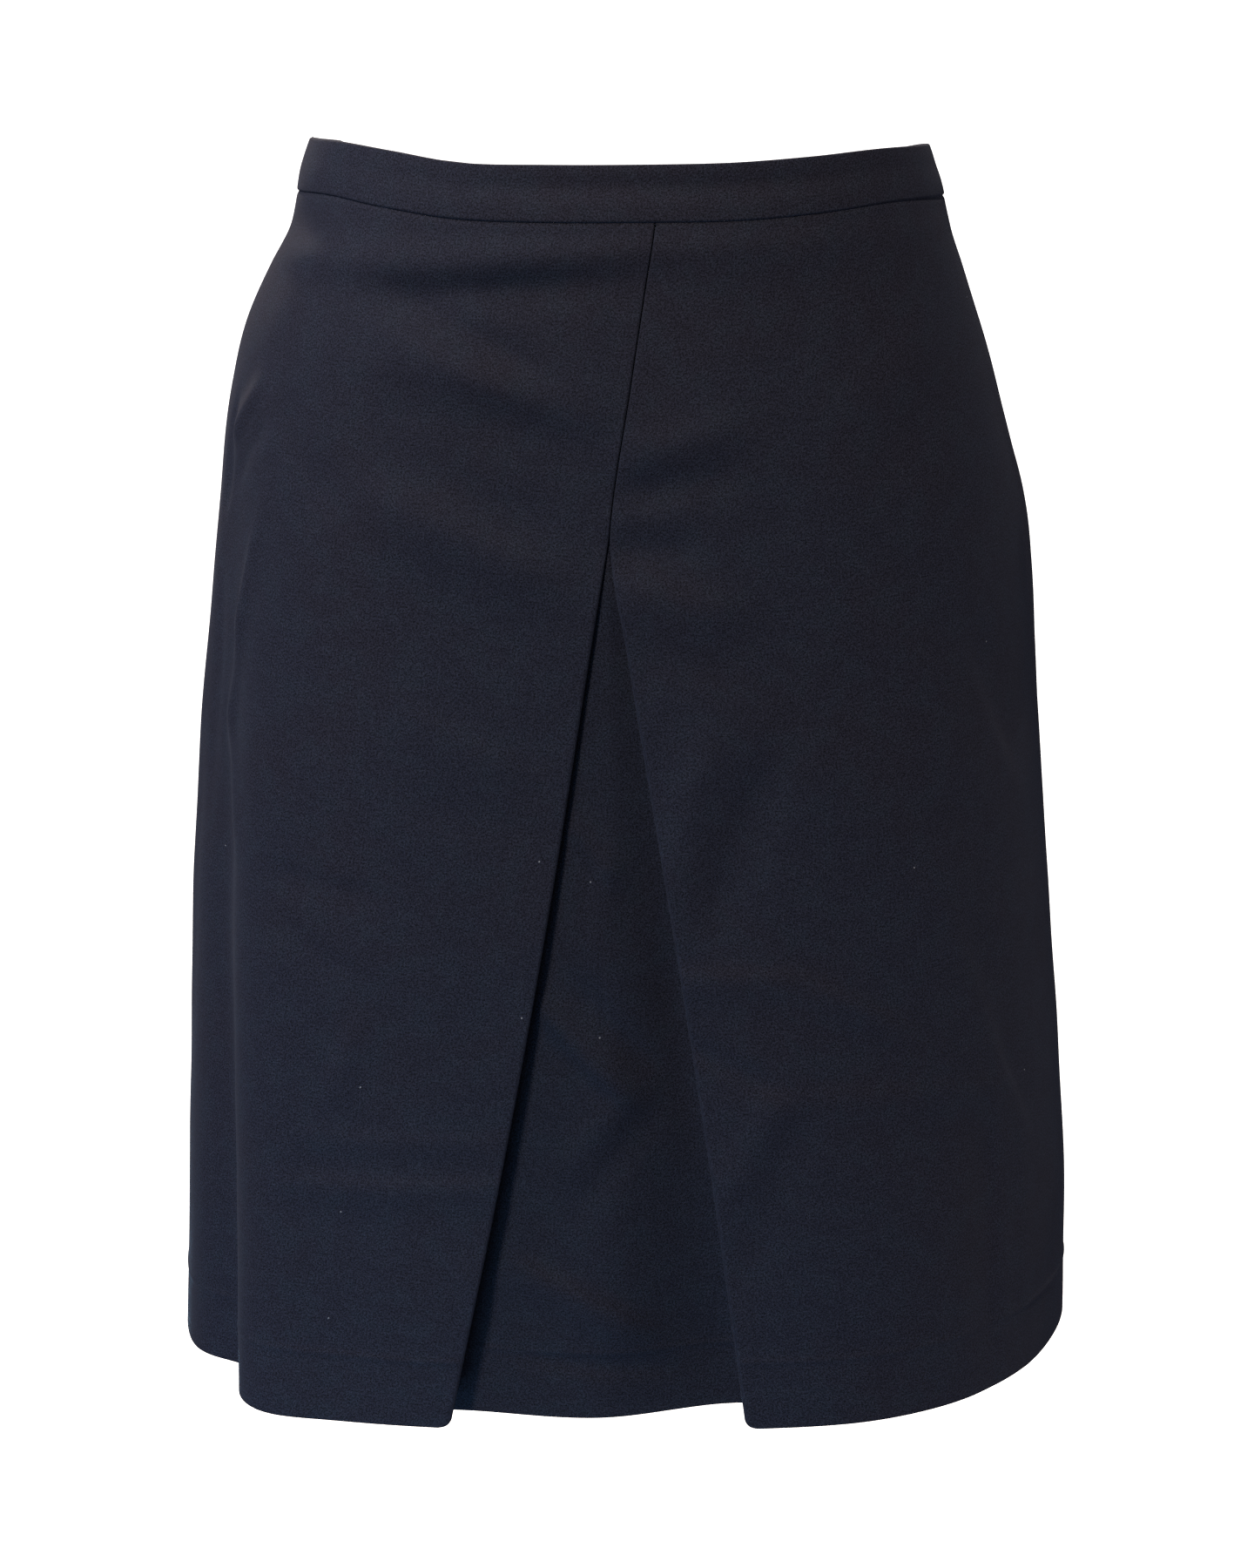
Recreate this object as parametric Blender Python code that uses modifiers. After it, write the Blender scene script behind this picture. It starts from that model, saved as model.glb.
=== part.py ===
"""A-line skirt: shaped waistband, front seam opening into an inverted pleat, back zip.

The skirt keeps the hollow form it has when worn. The origin is the middle of the
waist, level with the centre front of the waistband. +Z is up and the front looks
along -Y. Left and right in the names are the wearer's, so the wearer's left is +X.
Angles run round the body from the centre front (0), through the wearer's left side
(+90), to the centre back (180).
"""
import math

import bmesh
import bpy
import numpy as np
from mathutils import Matrix, Vector

MM = 0.001                      # every size below is in millimetres
GAP = 0.3                       # between neighbouring pieces
EDGE_STEP = 0.012               # the narrow first and last steps across a wall
HEM_LEVEL = -555.0

# Cloth thicknesses: one layer of twill, and the waistband with its facing and interlining.
CLOTH = 1.2
BAND_CLOTH = 2.4
BAND_PROUD = 0.5                # the band stands out from the skirt by this much
BAND_ROWS = (0.0, 0.3, 0.6, 0.9, 1.0)   # shares of the way from the top edge to the seam

# The waist seam and the top edge, by angle. Both dip at the centre front and back.
WAIST_COLUMNS = ("angle", "seam", "top")
WAIST = (
    (-135, -27.0, -3.0),
    (-97, -16.3, 7.4),
    (-76, -15.0, 8.2),
    (-60, -15.2, 7.9),
    (-44, -19.0, 4.8),
    (-28, -23.2, 0.4),
    (-12, -24.2, -0.2),
    (5, -24.1, 0.0),
    (20, -23.6, 0.6),
    (36, -21.0, 2.8),
    (52, -17.6, 5.1),
    (76, -17.2, 5.6),
    (97, -17.8, 4.8),
    (135, -27.0, -3.5),
    (180, -36.5, -12.0),
)

# The form by level: half widths, depths to the front and back, where the widest point
# lies, and how flat the front and back run before they turn to the sides.
SECTION_COLUMNS = ("level", "right", "left", "front", "back", "widest", "flat")
SECTIONS = (
    (8, 139.0, 138.8, 99.0, 95.0, 2, 0.030),
    (-5, 143.2, 143.6, 102.4, 99.0, 2, 0.035),
    (-17, 145.8, 147.2, 106.0, 102.5, 3, 0.040),
    (-32, 149.2, 150.4, 109.5, 107.0, 4, 0.045),
    (-48, 158.4, 156.6, 111.6, 112.0, 6, 0.050),
    (-71, 169.2, 164.2, 115.0, 119.5, 8, 0.060),
    (-103, 177.6, 174.0, 119.4, 127.5, 10, 0.070),
    (-151, 184.6, 186.6, 123.8, 134.5, 12, 0.080),
    (-250, 194.2, 195.4, 131.4, 139.5, 13, 0.095),
    (-377, 203.2, 208.9, 138.2, 143.0, 15, 0.112),
    (-480, 208.0, 217.2, 143.2, 146.5, 16, 0.120),
    (-555, 211.6, 218.6, 147.0, 149.5, 17, 0.125),
)

# Large folds that run down to the hem: angle of the line at its top and at the hem, half
# width in degrees, the level where each fades out, and how far it stands out (+) or in (-)
# at the hem.
FLUTE_COLUMNS = ("top_angle", "angle", "spread", "start", "out")
FLUTES = (
    (-56, -48, 8, -60, 7.5),
    (-70, -63, 6, -70, -16.0),
    (58, 56, 23, -60, -8.8),
    (-141, -141, 10, -150, 7.0),
    (-121, -121, 11, -150, -8.0),
    (134, 134, 11, -170, 6.0),
    (155, 155, 10, -200, -6.0),
    (112, 112, 10, -220, -5.0),
)

FLUTE_GROWTH = 1.3              # above 1, a fold opens faster near the hem

# The front seam and the pleat: the pleat opens where the seam ends. Columns are the
# sideways place of the seam or the pleat's middle, half the width between the two folded
# edges, and the width turned under behind each.
PLEAT_COLUMNS = ("level", "middle", "half_open", "turned_under")
PLEAT = (
    (-24, 15.9, 0.0, 20),
    (-91, 5.5, 0.0, 24),
    (-156, -3.8, 0.0, 28),
    (-209, -4.2, 8.2, 31),
    (-300, -3.9, 22.9, 36),
    (-437, -5.5, 45.9, 41),
    (-555, -9.4, 66.2, 45),
)
PLEAT_TOP = -156.0
FOLD_RADIUS = 1.6               # outside of the folded edge
LAYER_DROP = 0.35               # a folded layer starts this much lower for each mm inside
# How far the underlay lies behind the front at the hem: at its outer edges, behind the
# folded edges and in the middle.
UNDERLAY_RECESS = {"edge": 9.0, "right_fold": 16.5, "middle": 9.5, "left_fold": 25.0}

SIDE_SEAM = 97.0                # angle of the side seams, just behind the widest point

# Zip at the centre back: woven tapes and coil inside, slider and hanging pull at the top.
ZIP_ROWS = 9                    # the zip ends at this row of the backs
TAPE_EDGES = (1.1, 12.0)        # sideways, from the middle
TAPE_CLOTH = 1.0
ZIP_EASE_DROP = 14.0            # the zip lies flat on the backs this far under the seam
ZIP_EASE = 10.0                 # and eases to the band's thicker inside over this height
TAPE_TOP_DROP = 4.0             # the tapes stop this far under the top edge
COIL_HALF_WIDTH = 2.1
COIL_CLOTH = 1.4
SLIDER_SIZE = (7.0, 3.0, 9.0)   # across, through, tall
SLIDER_EDGE = 0.8               # rounding of its edges
SLIDER_DROP = 8.5               # middle of the slider, under the top edge
COIL_TOP_DROP = 14.4            # the closed coil starts just under the slider
NECK_SIZE = (1.6, 3.4)          # across, tall: it comes out between the band's ends
NECK_ROOT = 0.5                 # the neck reaches this far into the slider
NOTCH_HALF_WIDTH = 1.2          # the band's ends part this far to let the neck through
NOTCH_FULL_DROP = 11.0
NOTCH_END_DROP = 16.0
PIVOT_OUT = 2.0                 # pivot of the pull, out from the band
PIVOT_HOLE_RADIUS = 0.8
PIN_RADIUS = 0.45
ROD_SIDES = 20
PULL_HALF_WIDTHS = (2.5, 2.8)   # at the pivot and at the rounded end
PULL_THICK = 1.0
PULL_LENGTH = 19.0              # from the pivot to the end
PULL_EAR_RADIUS = 1.2
PULL_SLOT = (1.15, 2.1)         # half width, and depth below the pivot
STOP_SIZE = (5.6, 2.6, 3.2)     # metal stop at the zip's lower end
STOP_EDGE = 0.5

FABRIC = (0.019, 0.021, 0.032)
FABRIC_DEEP = (0.014, 0.015, 0.024)
TAPE_COLOUR = (0.012, 0.013, 0.019)
METAL = (0.055, 0.057, 0.068)


def start_clean():
    """Remove the scene's objects and return the skirt's own collection and the cutters'."""
    for old in list(bpy.data.objects):
        bpy.data.objects.remove(old, do_unlink=True)
    made = []
    for name in ("a_line_skirt", "cutters"):
        collection = bpy.data.collections.new(name)
        bpy.context.scene.collection.children.link(collection)
        made.append(collection)
    return made


def finish(name, colour, roughness, metallic=0.0):
    """A plain Principled material."""
    material = bpy.data.materials.new(name)
    material.use_nodes = True
    shader = material.node_tree.nodes["Principled BSDF"]
    shader.inputs["Base Color"].default_value = (*colour, 1.0)
    shader.inputs["Roughness"].default_value = roughness
    shader.inputs["Metallic"].default_value = metallic
    return material


def smooth_through(rows, x):
    """Smooth curve through rows of (x, value), read at x: a Hermite curve whose slope at
    each row is the slope between that row's neighbours."""
    points = np.array(sorted(rows), dtype=float)
    xs, ys = points[:, 0], points[:, 1]
    slopes = np.gradient(ys, xs)
    x = np.clip(np.asarray(x, dtype=float), xs[0], xs[-1])
    i = np.clip(np.searchsorted(xs, x) - 1, 0, len(xs) - 2)
    span = xs[i + 1] - xs[i]
    t = (x - xs[i]) / span
    a = (1 + 2 * t) * (1 - t) ** 2 * ys[i] + t * (1 - t) ** 2 * span * slopes[i]
    b = t * t * (3 - 2 * t) * ys[i + 1] + t * t * (t - 1) * span * slopes[i + 1]
    return a + b


def column(table, columns, name, level):
    """One column of a table, read smoothly at the given levels."""
    k = columns.index(name)
    return smooth_through([(row[0], row[k]) for row in table], level)


def waist_line(name, angle):
    """Level of the waist seam or the top edge, read smoothly all the way round."""
    k = WAIST_COLUMNS.index(name)
    rows = [(row[0] + turn, row[k]) for turn in (-360, 0, 360) for row in WAIST]
    return smooth_through(rows, angle)


def ring(angle, level):
    """Plan point of the plain form: a rounded ring, flatter at the front and back."""
    turn = np.radians(angle)
    row = {name: column(SECTIONS, SECTION_COLUMNS, name, level) for name in SECTION_COLUMNS[1:]}
    sine, cosine = np.sin(turn), np.cos(turn)
    half_width = (row["left"] + row["right"]) / 2 + (row["left"] - row["right"]) / 2 * sine
    depth = (row["front"] + row["back"]) / 2 + (row["front"] - row["back"]) / 2 * cosine
    x = half_width * sine
    reach = depth + row["widest"] * cosine
    y = row["widest"] - reach * ((1 + row["flat"]) * cosine - row["flat"] * np.cos(3 * turn))
    return x, y


def outward(angle, level):
    """Unit plan direction pointing out of the plain form."""
    step = 0.05
    x0, y0 = ring(angle - step, level)
    x1, y1 = ring(angle + step, level)
    along = np.hypot(x1 - x0, y1 - y0)
    return (y1 - y0) / along, -(x1 - x0) / along


def fold_out(angle, level):
    """How far the large folds stand out of the plain form: bell curves that grow downwards."""
    total = np.zeros(np.broadcast(angle, level).shape)
    for row in FLUTES:
        fold = dict(zip(FLUTE_COLUMNS, row))
        grown = np.clip((fold["start"] - level) / (fold["start"] - HEM_LEVEL), 0.0, 1.0)
        line = fold["top_angle"] + (fold["angle"] - fold["top_angle"]) * grown
        off_line = (angle - line + 180.0) % 360.0 - 180.0
        bell = np.exp(-((off_line / fold["spread"]) ** 2))
        total += fold["out"] * grown ** FLUTE_GROWTH * bell
    return total


def form(angle, level, depth=0.0):
    """Points of the skirt's form, or of a layer that lies the given depth inside it."""
    angle, level, depth = np.broadcast_arrays(angle, level, depth)
    x, y = ring(angle, level)
    nx, ny = outward(angle, level)
    out = fold_out(angle, level) - depth
    return np.stack([x + nx * out, y + ny * out, level], axis=-1)


def angle_at(x, level):
    """Angle on the front of the form at a sideways place."""
    left = column(SECTIONS, SECTION_COLUMNS, "left", level)
    right = column(SECTIONS, SECTION_COLUMNS, "right", level)
    mean, half = (left + right) / 2, (left - right) / 2
    sine = x / mean
    for _ in range(4):
        sine = x / (mean + half * sine)
    return np.degrees(np.arcsin(sine))


def angle_step(angle, level, distance):
    """Angle that a distance along the form covers there."""
    x0, y0 = ring(angle - 0.5, level)
    x1, y1 = ring(angle + 0.5, level)
    return distance / np.hypot(x1 - x0, y1 - y0)


def sheet(name, points, thickness, material, collection, flip=False):
    """A cloth wall: a grid whose points lie on the cloth's right side, thickened inwards."""
    rows, columns = points.shape[:2]
    builder = bmesh.new()
    bmesh.ops.create_grid(builder, x_segments=columns - 1, y_segments=rows - 1, size=1.0)
    order = sorted(builder.verts, key=lambda v: (round(-v.co.y, 4), round(v.co.x, 4)))
    for vertex, place in zip(order, points.reshape(-1, 3)):
        vertex.co = place * MM
    if flip:
        bmesh.ops.reverse_faces(builder, faces=builder.faces)
    mesh = bpy.data.meshes.new(name)
    builder.to_mesh(mesh)
    builder.free()
    piece = bpy.data.objects.new(name, mesh)
    collection.objects.link(piece)
    piece.data.materials.append(material)
    wall = piece.modifiers.new("wall", "SOLIDIFY")
    wall.thickness = thickness * MM
    wall.offset = -1.0
    return piece


def spread(count):
    """Shares from 0 to 1 whose first and last steps are narrow, so that a wall's end faces
    stand square to the cloth and two walls keep their gap right through."""
    return np.concatenate([[0.0], np.linspace(EDGE_STEP, 1.0 - EDGE_STEP, count - 2), [1.0]])


def band_sheet(name, first_angle, last_angle, count, material, collection, notch=0):
    """A stretch of the waistband; notch is the end (-1 or 1) that parts at the slider."""
    share = np.array(BAND_ROWS)[:, None]
    rows = len(BAND_ROWS)
    along = spread(count)[None, :]
    angle = first_angle + (last_angle - first_angle) * along * np.ones((rows, 1))
    top = waist_line("top", angle)
    bottom = waist_line("seam", angle)
    level = top + (bottom - top) * share
    half_gap = np.full(rows, GAP / 2)
    if notch:
        drop = (top - level)[:, 0]
        parted = (NOTCH_END_DROP - drop) / (NOTCH_END_DROP - NOTCH_FULL_DROP)
        half_gap += NOTCH_HALF_WIDTH * np.clip(parted, 0.0, 1.0)
    first_gap = half_gap if notch < 0 else np.full(rows, GAP / 2)
    last_gap = half_gap if notch > 0 else np.full(rows, GAP / 2)
    step = angle_step(angle, level, 1.0)
    angle = angle + step * (first_gap[:, None] * (1 - along) - last_gap[:, None] * along)
    return sheet(name, form(angle, level, -BAND_PROUD), BAND_CLOTH, material, collection)


def panel_rows():
    """Rows of every panel, as shares of the way from the waist seam to the hem: closer over
    the hip, and one row where the pleat opens. Panels share them, so that edges match."""
    over_hip, below = 8, 8
    seam = waist_line("seam", 0.0)
    opening = (PLEAT_TOP - seam) / (HEM_LEVEL - seam)
    upper = opening * np.linspace(0.0, 1.0, over_hip) ** 1.6
    lower = np.linspace(opening, 1.0, below + 1)[1:]
    return np.concatenate([upper, lower])[:, None]


def panel_levels(angle, depth=0.0):
    """Levels of a panel's rows, from just under the waist seam to the hem. A layer that lies
    deeper below the band's outside starts lower, because the band above leans outwards."""
    top = waist_line("seam", angle) - GAP - LAYER_DROP * (depth + BAND_PROUD)
    return top + (HEM_LEVEL - top) * panel_rows()


def fold_place(side, level):
    """Sideways place of a folded edge, half a gap off the seam while the seam is closed."""
    half_open = np.maximum(column(PLEAT, PLEAT_COLUMNS, "half_open", level), 0.0)
    return column(PLEAT, PLEAT_COLUMNS, "middle", level) + side * (half_open + GAP / 2)


def turned_under(level):
    """Width of cloth turned under behind each folded edge."""
    return column(PLEAT, PLEAT_COLUMNS, "turned_under", level)


def pleat_opened(level):
    """0 where the front seam is closed, growing to 1 at the hem."""
    return np.clip((PLEAT_TOP - level) / (PLEAT_TOP - HEM_LEVEL), 0.0, 1.0)


def front_panel(name, side, material, collection):
    """A front: from the side seam to the folded edge, round it, and back under itself."""
    across, bend, under = 17, 6, 5
    fold_level = panel_levels(0.0)
    fold = angle_at(fold_place(side, fold_level), fold_level)
    step = angle_step(fold, fold_level, 1.0)
    seam_angle = side * (SIDE_SEAM - angle_step(SIDE_SEAM, panel_levels(SIDE_SEAM), GAP / 2))

    along = spread(across)[None, :]
    face_end = fold + side * step * FOLD_RADIUS
    face = seam_angle + (face_end - seam_angle) * along

    turn = np.linspace(0.0, math.pi, bend + 1)[None, 1:]
    bent = fold + side * step * FOLD_RADIUS * (1 - np.sin(turn))
    bent_depth = FOLD_RADIUS * (1 - np.cos(turn)) * np.ones_like(fold_level)

    back = np.linspace(0.0, 1.0, under + 1)[None, 1:]
    width = turned_under(fold_level)
    hidden = fold + side * step * (FOLD_RADIUS + (width - FOLD_RADIUS) * back)
    hidden_depth = 2 * FOLD_RADIUS + UNDERLAY_RECESS["edge"] * pleat_opened(fold_level) * back

    angle = np.concatenate([face, bent, hidden], axis=1)
    depth = np.concatenate([np.zeros_like(face), bent_depth, hidden_depth], axis=1)
    return sheet(name, form(angle, panel_levels(angle, depth), depth), CLOTH, material,
                 collection, flip=side > 0)


def underlay(name, material, collection):
    """The piece behind the pleat: it joins the turned-under edges and hangs between them."""
    level = panel_levels(0.0)
    right = fold_place(-1, level)
    left = fold_place(1, level)
    width = turned_under(level)
    place = np.concatenate([
        right + width * np.linspace(-1.0, -0.2, 4)[None, :],
        right + (left - right) * np.linspace(0.0, 1.0, 7)[None, :],
        left + width * np.linspace(0.2, 1.0, 4)[None, :]], axis=1)
    stations = np.stack([right[:, 0] - width[:, 0], right[:, 0], (right + left)[:, 0] / 2,
                         left[:, 0], left[:, 0] + width[:, 0]], axis=1)
    recess = [UNDERLAY_RECESS[key] for key in ("edge", "right_fold", "middle", "left_fold", "edge")]
    shape = np.array([smooth_through(list(zip(at, recess)), row)
                      for at, row in zip(stations, place)])
    depth = 2 * FOLD_RADIUS + GAP + shape * pleat_opened(level)
    angle = angle_at(place, level)
    return sheet(name, form(angle, panel_levels(angle, depth), depth), CLOTH, material,
                 collection)


def back_panel(name, side, material, collection):
    """A back: from the side seam to the centre back seam."""
    across = 15
    first = SIDE_SEAM + angle_step(SIDE_SEAM, panel_levels(SIDE_SEAM), GAP / 2)
    last = 180.0 - angle_step(180.0, panel_levels(180.0), GAP / 2)
    angle = side * (first + (last - first) * spread(across)[None, :])
    return sheet(name, form(angle, panel_levels(angle)), CLOTH, material, collection,
                 flip=side < 0)


def zip_depth(level):
    """Depth just inside the band near the top, easing to just inside the backs below it."""
    seam = waist_line("seam", 180.0)
    at_band = BAND_CLOTH - BAND_PROUD + 2 * GAP
    at_back = CLOTH + 1.5 * GAP
    ease = np.clip((level - (seam - ZIP_EASE_DROP)) / ZIP_EASE, 0.0, 1.0)
    return at_back + (at_band - at_back) * ease


def zip_levels(top_drop):
    """Levels of a strip of the zip: from its top through the band, then the backs' rows."""
    top, seam = waist_line("top", 180.0) - top_drop, waist_line("seam", 180.0)
    in_band = np.linspace(top, seam, 4)[:-1]
    below = panel_levels(180.0)[:ZIP_ROWS, 0]
    return np.concatenate([in_band, below])[:, None]


def zip_strip(name, first, last, extra_depth, thickness, top_drop, material, collection):
    """A strip down the centre back, between two sideways places, inside the backs."""
    across = 3
    level = zip_levels(top_drop) * np.ones((1, across))
    place = np.linspace(first, last, across)[None, :]
    angle = 180.0 - angle_step(180.0, level, 1.0) * place
    depth = zip_depth(level) + extra_depth
    return sheet(name, form(angle, level, depth), thickness, material, collection, flip=True)


def move_to(piece, collection):
    """Take a piece out of the collections it is in and put it in this one."""
    for other in list(piece.users_collection):
        other.objects.unlink(piece)
    collection.objects.link(piece)


def back_frame(drop):
    """Frame on the band's outside at the centre back, this far under its top edge: its Y
    points out of the band and its Z up along it."""
    level = waist_line("top", 180.0) - drop
    upper = form(180.0, level + 1.0, -BAND_PROUD)
    lower = form(180.0, level - 1.0, -BAND_PROUD)
    lean = math.atan2(lower[1] - upper[1], 2.0)
    middle = Vector((upper + lower) / 2 * MM)
    return Matrix.Translation(middle) @ Matrix.Rotation(lean, 4, "X")


def block(name, size, middle, frame, collection):
    """A block in a frame, its size and middle given in that frame."""
    bpy.ops.mesh.primitive_cube_add(size=1.0)
    piece = bpy.context.object
    piece.name = name
    piece.data.transform(Matrix.Diagonal((size[0] * MM, size[1] * MM, size[2] * MM, 1.0)))
    piece.matrix_world = frame @ Matrix.Translation(Vector(middle) * MM)
    move_to(piece, collection)
    return piece


def cross_rod(name, radius, length, middle, frame, collection):
    """A round rod along X in a frame."""
    bpy.ops.mesh.primitive_cylinder_add(vertices=ROD_SIDES, radius=radius * MM, depth=length * MM)
    piece = bpy.context.object
    piece.name = name
    turn = Matrix.Rotation(math.pi / 2, 4, "Y")
    piece.matrix_world = frame @ Matrix.Translation(Vector(middle) * MM) @ turn
    move_to(piece, collection)
    return piece


def combine(piece, other, operation):
    """Cut or join another piece, kept as a guide."""
    other.hide_render = True
    other.display_type = "WIRE"
    change = piece.modifiers.new(operation.lower(), "BOOLEAN")
    change.operation = operation
    change.solver = "EXACT"
    change.object = other


def zip_slider(name, material, collection, guides):
    """Slider inside the tapes; its neck passes between the band's ends and ends in a
    round lug with the pull's pivot hole."""
    frame = back_frame(SLIDER_DROP)
    inside = BAND_CLOTH + 2 * GAP + TAPE_CLOTH + 2 * GAP
    slider = block(name, SLIDER_SIZE, (0.0, -inside - SLIDER_SIZE[1] / 2, 0.0), frame, collection)
    slider.data.materials.append(material)
    edge = slider.modifiers.new("edge", "BEVEL")
    edge.width = SLIDER_EDGE * MM
    edge.segments = 2
    reach = PIVOT_OUT + inside + NECK_ROOT
    neck = block("neck", (NECK_SIZE[0], reach, NECK_SIZE[1]), (0.0, PIVOT_OUT - reach / 2, 0.0),
                 frame, guides)
    lug = cross_rod("lug", NECK_SIZE[1] / 2, NECK_SIZE[0], (0.0, PIVOT_OUT, 0.0), frame, guides)
    hole = cross_rod("hole", PIVOT_HOLE_RADIUS, 6.0, (0.0, PIVOT_OUT, 0.0), frame, guides)
    combine(neck, lug, "UNION")
    combine(slider, neck, "UNION")
    combine(slider, hole, "DIFFERENCE")
    return slider


def pull_outline():
    """The pull's flat shape, pivot at the origin, hanging down: two round ears either side
    of a slot, sides that widen a little, and a half-round end."""
    top, end = PULL_HALF_WIDTHS
    slot, slot_depth = PULL_SLOT
    ear_middle = (top + slot) / 2
    ear_half = (top - slot) / 2
    points = [(slot, -slot_depth)]
    for turn in np.linspace(math.pi, 0.0, 7):
        points.append((ear_middle + ear_half * math.cos(turn),
                       PULL_EAR_RADIUS - ear_half + ear_half * math.sin(turn)))
    for turn in np.linspace(0.0, -math.pi / 2, 9):
        points.append((end * math.cos(turn), end - PULL_LENGTH + end * math.sin(turn)))
    mirrored = [(-x, z) for x, z in reversed(points[:-1])]
    return points + mirrored


def zip_pull(name, material, collection, guides):
    """The hanging pull: a flat drop with a forked top, and a pin through the lug's hole."""
    frame = back_frame(SLIDER_DROP) @ Matrix.Translation((0.0, PIVOT_OUT * MM, 0.0))
    outline = bpy.data.curves.new(name, "CURVE")
    outline.dimensions = "2D"
    outline.fill_mode = "BOTH"
    outline.extrude = PULL_THICK / 2 * MM
    spline = outline.splines.new("POLY")
    places = pull_outline()
    spline.points.add(len(places) - 1)
    for point, (x, z) in zip(spline.points, places):
        point.co = (x * MM, z * MM, 0.0, 1.0)
    spline.use_cyclic_u = True
    drawn = bpy.data.objects.new("pull_outline", outline)
    collection.objects.link(drawn)
    bpy.context.view_layer.update()
    evaluated = drawn.evaluated_get(bpy.context.evaluated_depsgraph_get())
    mesh = bpy.data.meshes.new_from_object(evaluated)
    bpy.data.objects.remove(drawn, do_unlink=True)
    builder = bmesh.new()
    builder.from_mesh(mesh)
    bmesh.ops.remove_doubles(builder, verts=builder.verts, dist=1e-6)
    bmesh.ops.transform(builder, matrix=Matrix.Rotation(math.pi / 2, 4, "X"), verts=builder.verts)
    bmesh.ops.recalc_face_normals(builder, faces=builder.faces)
    builder.to_mesh(mesh)
    builder.free()
    pull = bpy.data.objects.new(name, mesh)
    collection.objects.link(pull)
    pull.data.materials.append(material)
    pivot = bpy.data.objects.new("pull_pivot", None)
    pivot.matrix_world = frame
    collection.objects.link(pivot)
    pull.parent = pivot
    pin_length = PULL_HALF_WIDTHS[0] + PULL_SLOT[0]
    pin = cross_rod("pin", PIN_RADIUS, pin_length, (0.0, 0.0, 0.0), frame, guides)
    combine(pull, pin, "UNION")
    return pull


def zip_stop(name, material, collection):
    """The metal stop clamped over the coil's lower end."""
    middle_level = zip_levels(COIL_TOP_DROP)[-1, 0] - GAP - STOP_SIZE[2] / 2
    depth = zip_depth(middle_level) + TAPE_CLOTH + GAP + STOP_SIZE[1] / 2
    upper = form(180.0, middle_level + 1.0)
    lower = form(180.0, middle_level - 1.0)
    lean = math.atan2(lower[1] - upper[1], 2.0)
    middle = Vector((upper + lower) / 2 * MM)
    frame = Matrix.Translation(middle) @ Matrix.Rotation(lean, 4, "X")
    stop = block(name, STOP_SIZE, (0.0, -depth, 0.0), frame, collection)
    stop.data.materials.append(material)
    edge = stop.modifiers.new("edge", "BEVEL")
    edge.width = STOP_EDGE * MM
    edge.segments = 2
    return stop


def build():
    """Make every piece of the skirt."""
    skirt, guides = start_clean()
    twill = finish("twill", FABRIC, 0.82)
    twill_deep = finish("twill_in_the_pleat", FABRIC_DEEP, 0.85)
    tape = finish("zip_tape", TAPE_COLOUR, 0.8)
    metal = finish("painted_metal", METAL, 0.4, 0.6)

    band_sheet("waistband_front", -SIDE_SEAM, SIDE_SEAM, 41, twill, skirt)
    band_sheet("waistband_back_left", SIDE_SEAM, 180.0, 19, twill, skirt, notch=1)
    band_sheet("waistband_back_right", -180.0, -SIDE_SEAM, 19, twill, skirt, notch=-1)
    front_panel("front_right", -1, twill, skirt)
    front_panel("front_left", 1, twill, skirt)
    underlay("pleat_underlay", twill_deep, skirt)
    back_panel("back_right", -1, twill, skirt)
    back_panel("back_left", 1, twill, skirt)

    inner, outer = TAPE_EDGES
    zip_strip("zip_tape_left", inner, outer, 0.0, TAPE_CLOTH, TAPE_TOP_DROP, tape, skirt)
    zip_strip("zip_tape_right", -outer, -inner, 0.0, TAPE_CLOTH, TAPE_TOP_DROP, tape, skirt)
    zip_strip("zip_coil", -COIL_HALF_WIDTH, COIL_HALF_WIDTH, TAPE_CLOTH + GAP, COIL_CLOTH,
              COIL_TOP_DROP, tape, skirt)
    zip_slider("zip_slider", metal, skirt, guides)
    zip_pull("zip_pull", metal, skirt, guides)
    zip_stop("zip_stop", metal, skirt)


build()
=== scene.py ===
"""Looks of an a-line skirt: navy twill, a pressed inverted pleat, turned hems, a back zip.

The tables are in millimetres and become metres in the meshes. The origin is the middle of
the waist, +Z is up and the front looks along -Y. Left and right in the names are the
wearer's, so the wearer's left is +X. Angles run round the body from the centre front (0),
through the wearer's left side (+90), to the centre back (180). A cloth piece is a grid whose
rows run down the skirt and whose columns run round it, and its points lie on the cloth's
right side.
"""
import math

import bpy
import numpy as np
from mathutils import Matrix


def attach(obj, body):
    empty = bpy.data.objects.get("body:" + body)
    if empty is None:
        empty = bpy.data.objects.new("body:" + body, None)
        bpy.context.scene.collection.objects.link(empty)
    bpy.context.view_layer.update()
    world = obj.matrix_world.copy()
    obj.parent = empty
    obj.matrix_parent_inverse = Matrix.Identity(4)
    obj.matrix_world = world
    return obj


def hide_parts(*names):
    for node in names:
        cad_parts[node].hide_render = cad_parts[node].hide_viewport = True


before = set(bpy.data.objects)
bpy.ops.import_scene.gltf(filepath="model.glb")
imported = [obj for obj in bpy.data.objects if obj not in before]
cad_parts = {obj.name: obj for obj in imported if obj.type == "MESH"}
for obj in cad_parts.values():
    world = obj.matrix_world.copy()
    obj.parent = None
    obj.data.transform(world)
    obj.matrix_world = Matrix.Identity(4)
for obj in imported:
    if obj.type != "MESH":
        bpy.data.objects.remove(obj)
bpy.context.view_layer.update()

MM = 0.001
FAR = 99.0                      # a distance at which a seam or an edge has no effect

# ---------------------------------------------------------------- sizes of the cut and the make

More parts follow.
